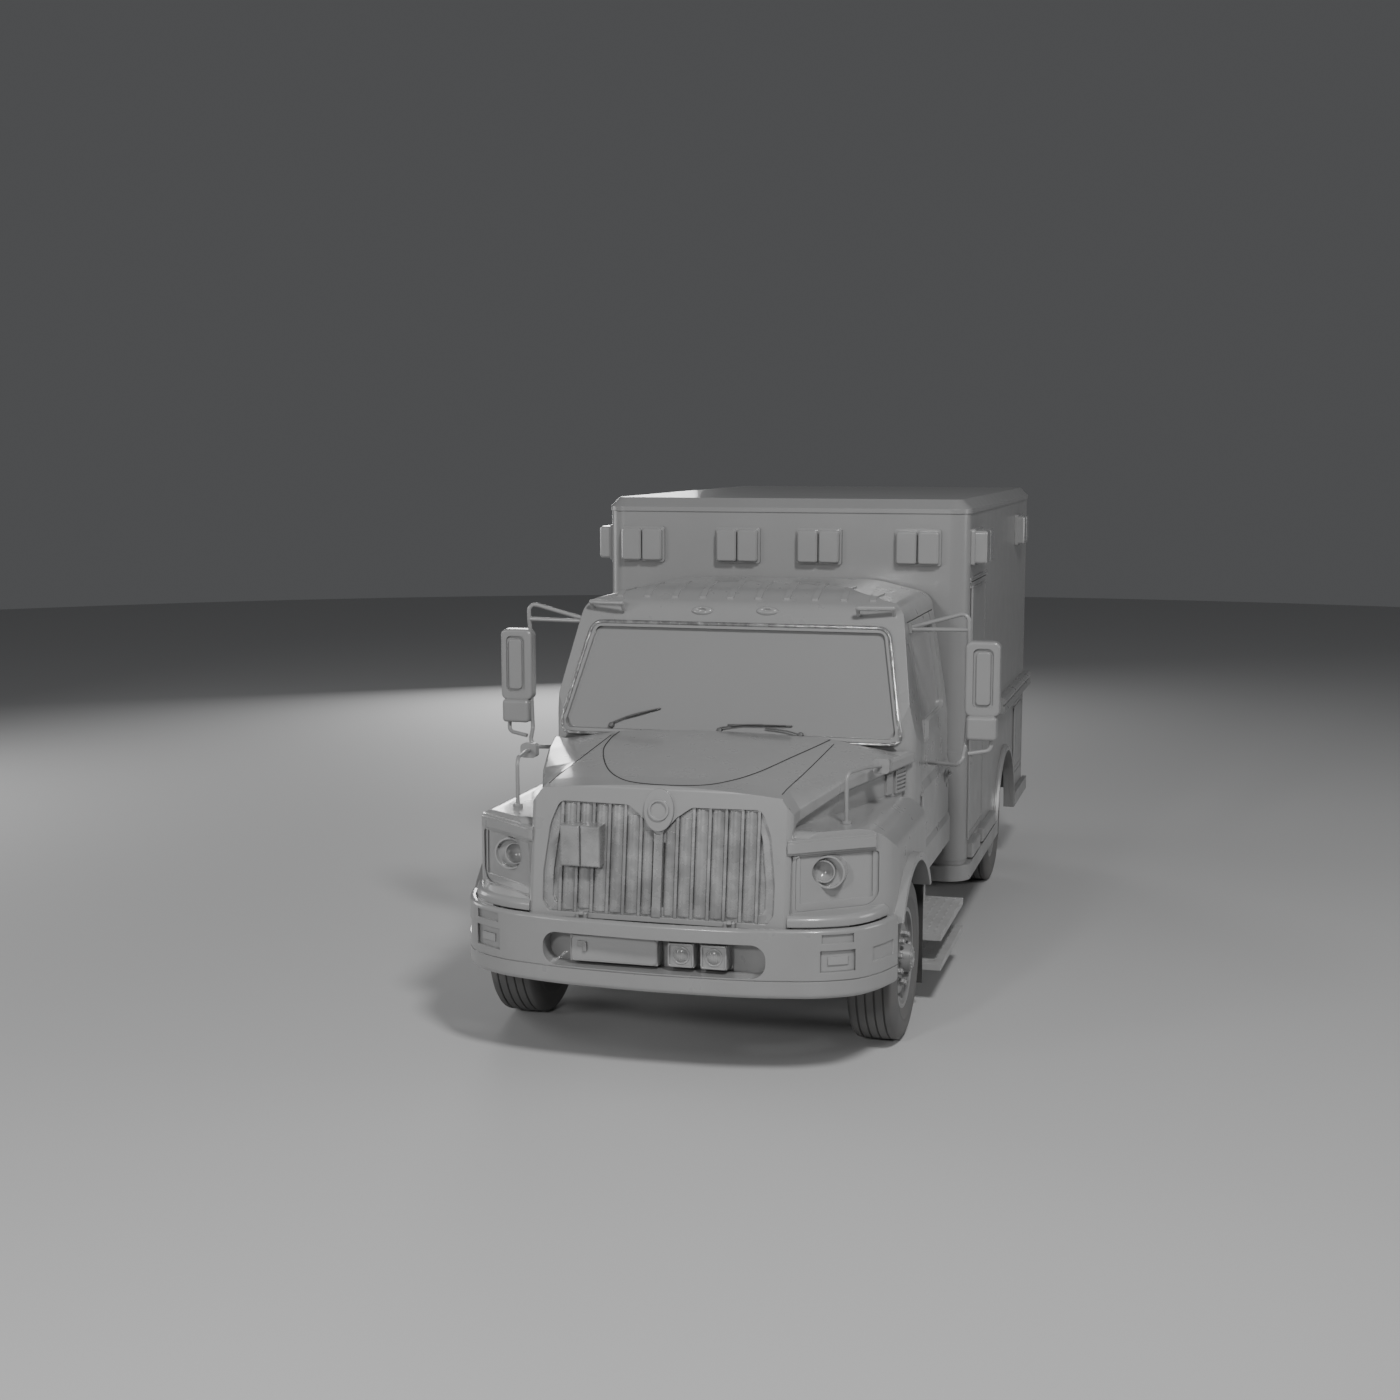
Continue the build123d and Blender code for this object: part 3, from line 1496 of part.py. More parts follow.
def mud_flaps():
    """Flaps behind the front wheels, on brackets from the rails, and behind the rear pairs."""
    flaps = []
    for x, low, y0, y1 in ((1405.0, 160.0, 930.0, 1185.0), (-2750.0, 250.0, 600.0, 1150.0)):
        flap = block(x - 8, x + 4, y0, y1, low, 775)
        flap += block(x - 30, x - 4, rail_half, y1, 745, 775)
        flaps += [flap, mirrored(flap)]
    return flaps


def whole(shape):
    """The one body of a piece, without a remnant that has no volume."""
    return max(shape.solids(), key=lambda body: body.volume)


def write(name, *solids):
    """Put one node's solids in the final frame and write them to a file."""
    placed = [Pos(frame_shift, 0, 0) * solid for solid in solids]
    bodies = [body for shape in placed for body in shape.solids()]
    shape = bodies[0] if len(bodies) == 1 else Compound(children=bodies)
    export_step(shape, os.path.join("parts", name + ".step"))


def build():
    os.makedirs("parts", exist_ok=True)
    write("frame_rails", frame_rails())
    write("engine", *engine())
    write("front_axle", front_axle())
    write("leaf_springs", *leaf_springs())
    write("rear_axle", rear_axle())
    write("exhaust", exhaust())
    write("fuel_tank", fuel_tank())
    write("mud_flaps", *mud_flaps())
    write("cab_steps", *cab_steps())
    write("front_bumper", front_bumper())
    write("bumper_lamps", *bumper_lamps())
    shell, door = cab_and_doors()
    write("cab_shell", shell)
    write("windscreen", windscreen())
    write("dashboard", dashboard())
    write("seats", *seats())
    glass = cab_door_glass()
    door_glass_mirror = (("door", door), ("door_glass", glass), ("mirror", door_mirror()))
    for label, solid in door_glass_mirror:
        write("left_" + label, solid)
        write("right_" + label, mirrored(solid))
    front, left, right, rear, doors = module_walls()
    write("module_front", front)
    write("module_left", left)
    write("module_right", right)
    write("module_rear", rear)
    write("module_roof", module_roof())
    write("module_floor", module_floor())
    write("module_lockers", *lockers())
    write("module_cabinets", *cabinets())
    doors["side_door"] -= side_pane(0)
    write("side_door_glass", side_pane(-seat_gap) & block(-1600, -1000, -module_half + 14,
                                                         -module_half + 14 + glass_thick, 1600, 2400))
    for side, name in ((1, "rear_left_door"), (-1, "rear_right_door")):
        doors[name] -= rear_pane(side, 0)
        pane = rear_pane(side, -seat_gap) & block(module_back_x + 14, module_back_x + 22,
                                                  -700, 700, 1600, 2400)
        write(name + "_glass", pane)
    for name, solid in doors.items():
        write(name, solid)
    write("skirt_rails", *skirt_rails())
    write("warning_lamps", *warning_lamps())
    write("rear_step", rear_step())
    write("hood_shell", whole(hood_shell() + emblem_boss()))
    write("grille", grille())
    write("headlamps", *headlamps())
    write("hood_mirrors", *hood_mirrors())
    left_knuckle = knuckle()
    write("left_knuckle", left_knuckle)
    write("right_knuckle", mirrored(left_knuckle))
    front_tyre = tyre_solid(front_track_half, front_axle_x, tyre_radius, tyre_width)
    rear_tyres = [tyre_solid(y, rear_axle_x, tyre_radius, tyre_width)
                  for y in (rear_outer_half, rear_outer_half - dual_spacing)]
    rims = {"front": front_wheel(front_axle_x), "rear": rear_wheel(rear_axle_x)}
    tyres = {"front": [front_tyre], "rear": rear_tyres}
    for end in ("front", "rear"):
        write(end + "_left_tyre", *tyres[end])
        write(end + "_right_tyre", *[mirrored(tyre) for tyre in tyres[end]])
        write(end + "_left_rim", rims[end])
        write(end + "_right_rim", mirrored(rims[end]))


build()
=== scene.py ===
import json
from math import cos, exp, pi, radians, sin

import bmesh
import bpy
from mathutils import Matrix, Vector
from mathutils.bvhtree import BVHTree


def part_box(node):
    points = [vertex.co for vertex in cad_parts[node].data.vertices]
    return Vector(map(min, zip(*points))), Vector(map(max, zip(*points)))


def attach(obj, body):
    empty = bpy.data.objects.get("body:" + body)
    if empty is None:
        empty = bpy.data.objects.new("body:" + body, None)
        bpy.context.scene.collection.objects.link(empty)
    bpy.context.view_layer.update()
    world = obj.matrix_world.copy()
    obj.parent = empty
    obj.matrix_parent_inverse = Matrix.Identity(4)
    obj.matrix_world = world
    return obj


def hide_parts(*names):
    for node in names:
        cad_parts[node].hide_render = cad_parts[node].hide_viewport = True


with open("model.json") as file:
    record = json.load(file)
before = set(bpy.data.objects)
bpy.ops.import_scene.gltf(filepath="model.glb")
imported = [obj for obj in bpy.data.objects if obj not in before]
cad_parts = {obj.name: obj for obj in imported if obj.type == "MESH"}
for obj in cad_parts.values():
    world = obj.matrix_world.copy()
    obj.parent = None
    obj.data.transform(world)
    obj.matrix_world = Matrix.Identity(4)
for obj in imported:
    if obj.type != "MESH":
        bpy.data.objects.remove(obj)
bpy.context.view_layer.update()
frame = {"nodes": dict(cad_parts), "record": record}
print("frame loaded:", len(frame["nodes"]), "nodes")


# Camera, floor and lights

camera = {
    "place": (13.1053, 2.9069, 3.3697),
    "pitch": 7.547,  # degrees below level
    "heading": 195.373,  # degrees from +X, turning to +Y
    "lens": 50.0,
    "sensor": 36.0,
    "farthest": 200,
}


def makeCamera():
    data = bpy.data.cameras.new("photoCamera")
    data.lens = camera["lens"]
    data.sensor_width = camera["sensor"]
    data.clip_end = camera["farthest"]
    holder = bpy.data.objects.new("photoCamera", data)
    holder.location = camera["place"]
    holder.rotation_euler = (radians(90 - camera["pitch"]), 0, radians(camera["heading"] - 90))
    bpy.context.collection.objects.link(holder)
    bpy.context.scene.camera = holder


studio = {
    "floorRadius": 30.0,
    "floorSides": 96,
    "floorColor": (0.55, 0.55, 0.55, 1),
    "floorRoughness": 0.75,
    "skyColor": (0.62, 0.63, 0.65, 1),
    "skyStrength": 0.13,
    # name, place, aim, size, power
    "lamps": (
        ("keySoftbox", (9.0, 4.5, 9.5), (1.5, 0, 1.6), 1.8, 760),
        ("cameraSoftbox", (12.5, -1.0, 4.5), (1.0, 0, 1.3), 0.9, 230),
        ("frontSoftbox", (11.0, -7.0, 4.0), (1.5, 0, 1.0), 3.0, 150),
        ("leftSoftbox", (-1.0, 13.0, 5.0), (-1.0, 0, 1.3), 6.0, 320),
        ("rightSoftbox", (-1.0, -12.0, 4.0), (-1.0, 0, 1.3), 6.0, 340),
        ("rearSoftbox", (-12.0, -6.0, 3.5), (-3.0, 0, 1.2), 4.0, 330),
    ),
}


def makeLamp(name, place, aim, size, power):
    data = bpy.data.lights.new(name, "AREA")
    data.shape = "DISK"
    data.size = size
    data.energy = power
    holder = bpy.data.objects.new(name, data)
    holder.location = place
    holder.rotation_euler = (Vector(aim) - Vector(place)).to_track_quat("-Z", "Y").to_euler()
    bpy.context.collection.objects.link(holder)


def meshObject(name, mesh):
    data = bpy.data.meshes.new(name)
    mesh.to_mesh(data)
    mesh.free()
    piece = bpy.data.objects.new(name, data)
    bpy.context.collection.objects.link(piece)
    return piece


def makeStudio():
    mesh = bmesh.new()
    bmesh.ops.create_circle(mesh, cap_ends=True, segments=studio["floorSides"], radius=studio["floorRadius"])
    floor = meshObject("studioFloor", mesh)
    material = bpy.data.materials.new("studioFloor")
    material.use_nodes = True
    shader = material.node_tree.nodes["Principled BSDF"]
    shader.inputs["Base Color"].default_value = studio["floorColor"]
    shader.inputs["Roughness"].default_value = studio["floorRoughness"]
    floor.data.materials.append(material)
    world = bpy.data.worlds.new("studioSky")
    world.use_nodes = True
    sky = world.node_tree.nodes["Background"]
    sky.inputs["Color"].default_value = studio["skyColor"]
    sky.inputs["Strength"].default_value = studio["skyStrength"]
    bpy.context.scene.world = world
    for lamp in studio["lamps"]:
        makeLamp(*lamp)


makeCamera()
makeStudio()
print("camera and studio made")


# Shader groups shared by the materials

def newGroup(name, inputs, outputs):
    group = bpy.data.node_groups.new(name, "ShaderNodeTree")
    for label, kind, value in inputs:
        group.interface.new_socket(name=label, in_out="INPUT", socket_type=kind).default_value = value
    for label, kind in outputs:
        group.interface.new_socket(name=label, in_out="OUTPUT", socket_type=kind)
    entry = group.nodes.new("NodeGroupInput")
    result = group.nodes.new("NodeGroupOutput")
    return group, entry.outputs, result.inputs


def feed(tree, socket, value):
    # another node's output is linked, anything else is set
    if isinstance(value, bpy.types.NodeSocket):
        tree.links.new(value, socket)
    else:
        socket.default_value = value


def addNode(tree, kind, settings=None, **values):
    node = tree.nodes.new(kind)
    for key, value in (settings or {}).items():
        setattr(node, key, value)
    for key, value in values.items():
        feed(tree, node.inputs[key], value)
    return node


def mathNode(tree, operation, a, b, clamp=False):
    node = addNode(tree, "ShaderNodeMath", {"operation": operation, "use_clamp": clamp})
    feed(tree, node.inputs[0], a)
    feed(tree, node.inputs[1], b)
    return node.outputs[0]


def mixColor(tree, factor, a, b):
    node = addNode(tree, "ShaderNodeMix", {"data_type": "RGBA"})
    colors = [socket for socket in node.inputs if socket.type == "RGBA"]
    feed(tree, node.inputs[0], factor)
    feed(tree, colors[0], a)
    feed(tree, colors[1], b)
    return [socket for socket in node.outputs if socket.type == "RGBA"][0]


def mapRange(tree, value, low, high, outLow=0.0, outHigh=1.0):
    node = addNode(tree, "ShaderNodeMapRange", {"clamp": True})
    labels = ("Value", "From Min", "From Max", "To Min", "To Max")
    for label, given in zip(labels, (value, low, high, outLow, outHigh)):
        feed(tree, node.inputs[label], given)
    return node.outputs["Result"]


def noise(tree, place, scale, detail):
    return addNode(tree, "ShaderNodeTexNoise", Vector=place, Scale=scale, Detail=detail).outputs["Fac"]


def objectPlace(tree):
    return tree.nodes.new("ShaderNodeTexCoord").outputs["Object"]


patterns = {
    "mottleRange": (0.35, 0.65),
    "mottleDetail": 4.0,
    "glossFiner": 2.7,  # than the mottling
    "glossDetail": 6.0,
    "grainDetail": 2.0,
    "dustFoot": 0.1,  # full dust below this height
    "dustScale": 5.0,
    "dustDetail": 8.0,
    "dustRange": (0.35, 0.7),
    "dustDulls": 0.4,
    "edgeSamples": 4,
    "edgeRange": (0.97, 0.8),
    "edgeScale": 9.0,
    "edgeDetail": 5.0,
    "edgeBreak": (0.3, 0.7),
}


def makeGrainGroup():
    # broad mottling of the colour, patchy gloss and a fine grain to bump
    group, given, result = newGroup("finishGrain", (
        ("Color", "NodeSocketColor", (0.4, 0.4, 0.4, 1)),
        ("Shade", "NodeSocketColor", (0.3, 0.3, 0.3, 1)),
        ("Mottle", "NodeSocketFloat", 0.3),
        ("Scale", "NodeSocketFloat", 3.0),
        ("Roughness", "NodeSocketFloat", 0.4),
        ("Spread", "NodeSocketFloat", 0.15),
        ("Grain Scale", "NodeSocketFloat", 400.0),
    ), (("Color", "NodeSocketColor"), ("Roughness", "NodeSocketFloat"), ("Height", "NodeSocketFloat")))
    place = objectPlace(group)
    broad = noise(group, place, given["Scale"], patterns["mottleDetail"])
    patch = mapRange(group, broad, *patterns["mottleRange"])
    amount = mathNode(group, "MULTIPLY", patch, given["Mottle"])
    group.links.new(mixColor(group, amount, given["Color"], given["Shade"]), result["Color"])
    glossScale = mathNode(group, "MULTIPLY", given["Scale"], patterns["glossFiner"])
    gloss = noise(group, place, glossScale, patterns["glossDetail"])
    swing = mathNode(group, "SUBTRACT", gloss, 0.5)
    swing = mathNode(group, "MULTIPLY", swing, given["Spread"])
    rough = mathNode(group, "ADD", swing, given["Roughness"], clamp=True)
    group.links.new(rough, result["Roughness"])
    group.links.new(noise(group, place, given["Grain Scale"], patterns["grainDetail"]), result["Height"])
    return group


def makeDustGroup():
    # road dust: thickest near the ground, broken up by noise
    group, given, result = newGroup("roadDust", (
        ("Color", "NodeSocketColor", (0.4, 0.4, 0.4, 1)),
        ("Dust", "NodeSocketColor", (0.3, 0.29, 0.27, 1)),
        ("Roughness", "NodeSocketFloat", 0.4),
        ("Top", "NodeSocketFloat", 1.1),
        ("Amount", "NodeSocketFloat", 0.35),
    ), (("Color", "NodeSocketColor"), ("Roughness", "NodeSocketFloat")))
    place = objectPlace(group)
    parts = addNode(group, "ShaderNodeSeparateXYZ", Vector=place)
    rise = mapRange(group, parts.outputs["Z"], patterns["dustFoot"], given["Top"], 1.0, 0.0)
    patches = noise(group, place, patterns["dustScale"], patterns["dustDetail"])
    broken = mapRange(group, patches, *patterns["dustRange"])
    mask = mathNode(group, "MULTIPLY", rise, broken)
    mask = mathNode(group, "MULTIPLY", mask, given["Amount"], clamp=True)
    group.links.new(mixColor(group, mask, given["Color"], given["Dust"]), result["Color"])
    extra = mathNode(group, "MULTIPLY", mask, patterns["dustDulls"])
    rough = mathNode(group, "ADD", extra, given["Roughness"], clamp=True)
    group.links.new(rough, result["Roughness"])
    return group


def makeEdgeGroup():
    # edges painted a little lighter, partly for rubbed paint and partly as a painted edge highlight; the
    # edges are found by how far a rounded normal leaves the true one
    group, given, result = newGroup("rubbedEdgeAndPaintedHighlight", (
        ("Color", "NodeSocketColor", (0.4, 0.4, 0.4, 1)),
        ("Rubbed", "NodeSocketColor", (0.6, 0.6, 0.6, 1)),
        ("Amount", "NodeSocketFloat", 0.4),
        ("Width", "NodeSocketFloat", 0.006),
    ), (("Color", "NodeSocketColor"), ("Mask", "NodeSocketFloat"), ("Normal", "NodeSocketVector")))
    rounded = addNode(group, "ShaderNodeBevel", {"samples": patterns["edgeSamples"]}, Radius=given["Width"])
    shape = group.nodes.new("ShaderNodeNewGeometry")
    dot = addNode(group, "ShaderNodeVectorMath", {"operation": "DOT_PRODUCT"})
    feed(group, dot.inputs[0], rounded.outputs["Normal"])
    feed(group, dot.inputs[1], shape.outputs["Normal"])
    edge = mapRange(group, dot.outputs["Value"], *patterns["edgeRange"])
    patches = noise(group, objectPlace(group), patterns["edgeScale"], patterns["edgeDetail"])
    broken = mapRange(group, patches, *patterns["edgeBreak"])
    mask = mathNode(group, "MULTIPLY", edge, broken)
    mask = mathNode(group, "MULTIPLY", mask, given["Amount"], clamp=True)
    group.links.new(mixColor(group, mask, given["Color"], given["Rubbed"]), result["Color"])
    group.links.new(mask, result["Mask"])
    group.links.new(rounded.outputs["Normal"], result["Normal"])
    return group


grainGroup = makeGrainGroup()
dustGroup = makeDustGroup()
edgeGroup = makeEdgeGroup()


# One finish for each kind of surface

def grey(value, warmth=0.0):
    return (value * (1 + warmth), value, value * (1 - warmth), 1)


# rubAndHighlight is how strongly a finish's edges are painted lighter, as rubbed paint and as a painted edge
# highlight
finishes = {
    "chassis_paint": dict(color=grey(0.13), shade=grey(0.09), rough=0.5, grain=180, bump=0.2, dust=0.4),
    "engine_iron": dict(color=grey(0.14), shade=grey(0.09), rough=0.6, grain=120, bump=0.4, dust=0.4),
    "exhaust_steel": dict(color=grey(0.24, 0.03), shade=grey(0.15, 0.08), rough=0.42, metal=0.8, dust=0.4),
    "tank_aluminium": dict(color=grey(0.34), shade=grey(0.28), rough=0.36, metal=0.85, dust=0.4),
    "flap_rubber": dict(color=grey(0.045), shade=grey(0.035), rough=0.75, grain=90, bump=0.4, dust=0.3),
    "tread_plate": dict(color=grey(0.48), shade=grey(0.4), rough=0.42, metal=0.1, dust=0.3),
    "bumper_paint": dict(color=grey(0.3), shade=grey(0.27), rough=0.3, coat=0.55, bump=0.04, dust=0.2),
    "lamp_lens": dict(color=grey(0.32), shade=grey(0.29), rough=0.18, coat=0.6, mottle=0.1),
    "cab_paint": dict(color=grey(0.31), shade=grey(0.28), rough=0.3, coat=0.55, bump=0.04, dust=0.2),
    "smoked_glass": dict(color=grey(0.29), shade=grey(0.27), rough=0.1, coat=0.7, mottle=0.15),
    "dash_plastic": dict(color=grey(0.06), shade=grey(0.045), rough=0.6, grain=500, bump=0.4),
    "seat_cover": dict(color=grey(0.1), shade=grey(0.075), rough=0.5, grain=260, bump=0.5),
    "module_paint": dict(color=grey(0.27), shade=grey(0.245), rough=0.38, coat=0.25, bump=0.04, dust=0.2),
    "floor_vinyl": dict(color=grey(0.16), shade=grey(0.13), rough=0.55, grain=300, bump=0.3),
    "locker_aluminium": dict(color=grey(0.34), shade=grey(0.28), rough=0.42, metal=0.7),
    "cabinet_laminate": dict(color=grey(0.36), shade=grey(0.33), rough=0.35),
    "rail_trim": dict(color=grey(0.33), shade=grey(0.28), rough=0.3, metal=0.3, dust=0.3),
    "bright_grille": dict(color=grey(0.4), shade=grey(0.2), rough=0.26, metal=0.35, mottle=0.6, scale=7,
                          grain=90, bump=0.12, spread=0.3, rubAndHighlight=0.4),
    "mirror_housing": dict(color=grey(0.3), shade=grey(0.265), rough=0.34, coat=0.3, grain=500, bump=0.1),
    "tyre_rubber": dict(color=grey(0.13), shade=grey(0.1), rough=0.6, grain=160, bump=0.25, dust=0.5,
                        dustTop=1.0),
    "mirror_glass": dict(color=grey(0.36), shade=grey(0.33), rough=0.06, metal=0.9, mottle=0.1, rubAndHighlight=0.1),
    # light grey, mottled darker: a painted highlight along the windscreen gasket, on a worn metal finish
    "worn_gasket_painted_highlight": dict(color=grey(0.5), shade=grey(0.2), rough=0.16, metal=0.6, mottle=0.8, scale=22,
                        spread=0.3, grain=45, bump=1.0, rubAndHighlight=0.6),
    # near black: painted shade laid along the bonnet's seam and creases
    "seam_painted_shade": dict(color=grey(0.03), shade=grey(0.022), rough=0.8, mottle=0.5, rubAndHighlight=0.0),
    "wheel_steel": dict(color=grey(0.27), shade=grey(0.23), rough=0.36, coat=0.2, dust=0.4),
}

wear = {
    "coatRoughness": 0.12,
    "rubbedAndLitLift": 1.5,  # how much lighter an edge is painted, for rubbed paint and a painted edge highlight
    "dustColor": grey(0.2, 0.05),
    "grainDepth": 0.001,
}


def makeMaterial(name, color, shade, rough, metal=0.0, coat=0.0, mottle=0.35, scale=2.5, spread=0.2,
                 grain=350, bump=0.12, dust=0.0, dustTop=1.2, rubAndHighlight=0.35, edge=0.006):
    material = bpy.data.materials.new(name)
    material.use_nodes = True
    tree = material.node_tree
    shader = tree.nodes["Principled BSDF"]
    shader.inputs["Metallic"].default_value = metal
    shader.inputs["Coat Weight"].default_value = coat
    shader.inputs["Coat Roughness"].default_value = wear["coatRoughness"]
    finish = addNode(tree, "ShaderNodeGroup", {"node_tree": grainGroup}, Color=color, Shade=shade,
                     Mottle=mottle, Scale=scale, Roughness=rough, Spread=spread)
    finish.inputs["Grain Scale"].default_value = float(grain)
    # the edge colour: lighter for rubbed paint and for a painted edge highlight
    light = tuple(min(1.0, c * wear["rubbedAndLitLift"]) for c in color[:3]) + (1,)
    rubbedAndLit = addNode(tree, "ShaderNodeGroup", {"node_tree": edgeGroup}, Color=finish.outputs["Color"],
                     Rubbed=light, Amount=rubAndHighlight, Width=edge)
    base, gloss = rubbedAndLit.outputs["Color"], finish.outputs["Roughness"]
    if dust:
        dusty = addNode(tree, "ShaderNodeGroup", {"node_tree": dustGroup}, Color=base,
                        Roughness=gloss, Top=dustTop, Amount=dust, Dust=wear["dustColor"])
        base, gloss = dusty.outputs["Color"], dusty.outputs["Roughness"]
    tree.links.new(base, shader.inputs["Base Color"])
    tree.links.new(gloss, shader.inputs["Roughness"])
    relief = addNode(tree, "ShaderNodeBump", Strength=bump, Distance=wear["grainDepth"],
                     Height=finish.outputs["Height"], Normal=rubbedAndLit.outputs["Normal"])
    tree.links.new(relief.outputs["Normal"], shader.inputs["Normal"])
    return material


materials = {name: makeMaterial(name, **settings) for name, settings in finishes.items()}
slotOfNode = {entry["node"]: entry["material_slot"] for entry in frame["record"]["subparts"]}
for nodeName, piece in frame["nodes"].items():
    piece.data.materials.clear()
    piece.data.materials.append(materials[slotOfNode[nodeName]])
print("finishes given to the frame's nodes")


# Places and shapes that the added pieces are built from

frameShift = 0.425  # the module's front face stands this far ahead of the middle


def at(x, y, z):
    # x counts from the module's front face
    return Vector((x + frameShift, y, z))


def joinInto(mesh, shape, turn=None):
    if turn is not None:
        bmesh.ops.transform(shape, matrix=turn, verts=shape.verts)
    data = bpy.data.meshes.new("shape")
    shape.to_mesh(data)
    shape.free()
    mesh.from_mesh(data)
    bpy.data.meshes.remove(data)


def softEdges(shape, edges, width, segments=2):
    bmesh.ops.bevel(shape, geom=edges, offset=width, offset_type="OFFSET", affect="EDGES",
                    segments=segments, profile=0.5, material=-1)


def boxShape(size, bevel, segments=2, middle=(0, 0, 0)):
    shape = bmesh.new()
    bmesh.ops.create_cube(shape, size=1.0)
    bmesh.ops.scale(shape, vec=size, verts=shape.verts)
    bmesh.ops.translate(shape, vec=middle, verts=shape.verts)
    softEdges(shape, shape.edges[:], bevel, segments)
    return shape


def turnedShape(profile, steps=32):
    # radius and height pairs, spun about Z
    shape = bmesh.new()
    line = [shape.verts.new((radius, 0, height)) for radius, height in profile]
    edges = [shape.edges.new(pair) for pair in zip(line, line[1:])]
    bmesh.ops.spin(shape, geom=line + edges, cent=(0, 0, 0), axis=(0, 0, 1), angle=2 * pi,
                   steps=steps, use_merge=True)
    bmesh.ops.remove_doubles(shape, verts=shape.verts[:], dist=1e-5)
    bmesh.ops.recalc_face_normals(shape, faces=shape.faces[:])
    return shape


def newVerts(done):
    return [item for item in done["geom"] if isinstance(item, bmesh.types.BMVert)]


def newFaces(done):
    return [item for item in done["geom"] if isinstance(item, bmesh.types.BMFace)]


def tubeShape(points, radius, sides=10, squeeze=1.0):
    # a ring carried along a line of points, with both ends capped
    points = [Vector(point) for point in points]
    runs = [(after - before).normalized() for before, after in zip(points, points[1:])]
    headings = [runs[0]] + [(a + b).normalized() for a, b in zip(runs, runs[1:])] + [runs[-1]]
    shape = bmesh.new()
    bmesh.ops.create_circle(shape, cap_ends=True, segments=sides, radius=radius)
    bmesh.ops.scale(shape, vec=(1, squeeze, 1), verts=shape.verts)
    turn = headings[0].to_track_quat("Z", "Y").to_matrix().to_4x4()
    bmesh.ops.transform(shape, matrix=Matrix.Translation(points[0]) @ turn, verts=shape.verts)
    end = shape.faces[:]
    for before, after, old, new in zip(points, points[1:], headings, headings[1:]):
        done = bmesh.ops.extrude_face_region(shape, geom=end)
        ring, end = newVerts(done), newFaces(done)
        bmesh.ops.translate(shape, vec=after - before, verts=ring)
        bmesh.ops.rotate(shape, cent=after, matrix=old.rotation_difference(new).to_matrix(), verts=ring)
    bmesh.ops.recalc_face_normals(shape, faces=shape.faces[:])
    return shape


def roundedRect(halfWide, halfTall, corner, steps=5):
    points = []
    for index, (x, y) in enumerate(((1, 1), (-1, 1), (-1, -1), (1, -1))):
        for k in range(steps + 1):
            angle = pi / 2 * (index + k / steps)
            points.append((x * (halfWide - corner) + cos(angle) * corner,
                           y * (halfTall - corner) + sin(angle) * corner))
    return points


def plateShape(halfWide, halfTall, corner, thick, bevel, band=0.0):
    # a flat plate in XY with round corners, or only a band inside its outline
    # the pieces' dictionaries give these values in the same order
    shape = bmesh.new()
    face = shape.faces.new([shape.verts.new((x, y, 0)) for x, y in roundedRect(halfWide, halfTall, corner)])
    face.normal_update()
    if face.normal.z < 0:
        face.normal_flip()
    if band:
        bmesh.ops.inset_individual(shape, faces=[face], thickness=band, depth=0, use_even_offset=True)
        bmesh.ops.delete(shape, geom=[face], context="FACES")
    done = bmesh.ops.extrude_face_region(shape, geom=shape.faces[:], use_keep_orig=True)
    bmesh.ops.translate(shape, vec=(0, 0, thick), verts=newVerts(done))
    bmesh.ops.recalc_face_normals(shape, faces=shape.faces[:])
    rim = [edge for edge in shape.edges
           if all(vert.co.z > thick / 2 for vert in edge.verts) and edge.calc_face_angle(0) > 0.6]
    softEdges(shape, rim, bevel)
    return shape


def softCorners(points, reach, steps=4):
    # the same line with each corner turned into a short curve
    points = [Vector(point) for point in points]
    line = [points[0]]
    for before, corner, after in zip(points, points[1:], points[2:]):
        near = min(reach, (before - corner).length / 2, (after - corner).length / 2)
        start = corner + (before - corner).normalized() * near
        end = corner + (after - corner).normalized() * near
        for k in range(steps + 1):
            share = k / steps
            line.append(start.lerp(corner, share).lerp(corner.lerp(end, share), share))
    return line + [points[-1]]


def smoothLine(points, steps=6):
    # a curve that passes through every point
    points = [Vector(point) for point in points]
    padded = [2 * points[0] - points[1]] + points + [2 * points[-1] - points[-2]]
    line = []
    for a, b, c, d in zip(padded, padded[1:], padded[2:], padded[3:]):
        for k in range(steps):
            t = k / steps
            line.append(0.5 * (2 * b + (c - a) * t + (2 * a - 5 * b + 4 * c - d) * t ** 2
                               + (3 * b - 3 * c + d - a) * t ** 3))
    return line + [points[-1]]


def facing(place, outward, up=(0, 0, 1)):
    # local Z looks outwards and local Y goes up
    outward = Vector(outward).normalized()
    across = Vector(up).cross(outward).normalized()
    turn = Matrix((across, outward.cross(across), outward)).transposed().to_4x4()
    return Matrix.Translation(place) @ turn


def onBothSides(mesh):
    bmesh.ops.mirror(mesh, geom=mesh.verts[:] + mesh.edges[:] + mesh.faces[:], axis="Y", merge_dist=-1)


def addPiece(name, mesh, body, slot, finish=None, smooth=35):
    bmesh.ops.recalc_face_normals(mesh, faces=mesh.faces[:])
    piece = meshObject(name, mesh)
    for polygon in piece.data.polygons:
        polygon.use_smooth = True
    piece.data.set_sharp_from_angle(angle=radians(smooth))
    piece.data.materials.append(materials[finish or slot])
    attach(piece, body)
    return piece


bodyOf = {}
for bodyName, nodeNames in frame["record"]["behaviour"]["bodies"].items():
    for nodeName in nodeNames:
        bodyOf[nodeName] = bodyName
surfaces = {}


def surfaceOf(node):
    if node not in surfaces:
        shape = bmesh.new()
        shape.from_mesh(frame["nodes"][node].data)
        surfaces[node] = BVHTree.FromBMesh(shape)
        shape.free()
    return surfaces[node]


def hit(node, start, direction):
    # where a ray from well outside first meets the node
    spot, normal, face, reach = surfaceOf(node).ray_cast(start, Vector(direction))
    return spot, normal


def onTop(node, x, y, lift=0.0):
    spot, normal = hit(node, at(x, y, 5.0), (0, 0, -1))
    return spot + normal * lift


def onSide(node, x, z, side):
    spot, normal = hit(node, at(x, 3.0 * side, z), (0, -side, 0))
    return spot
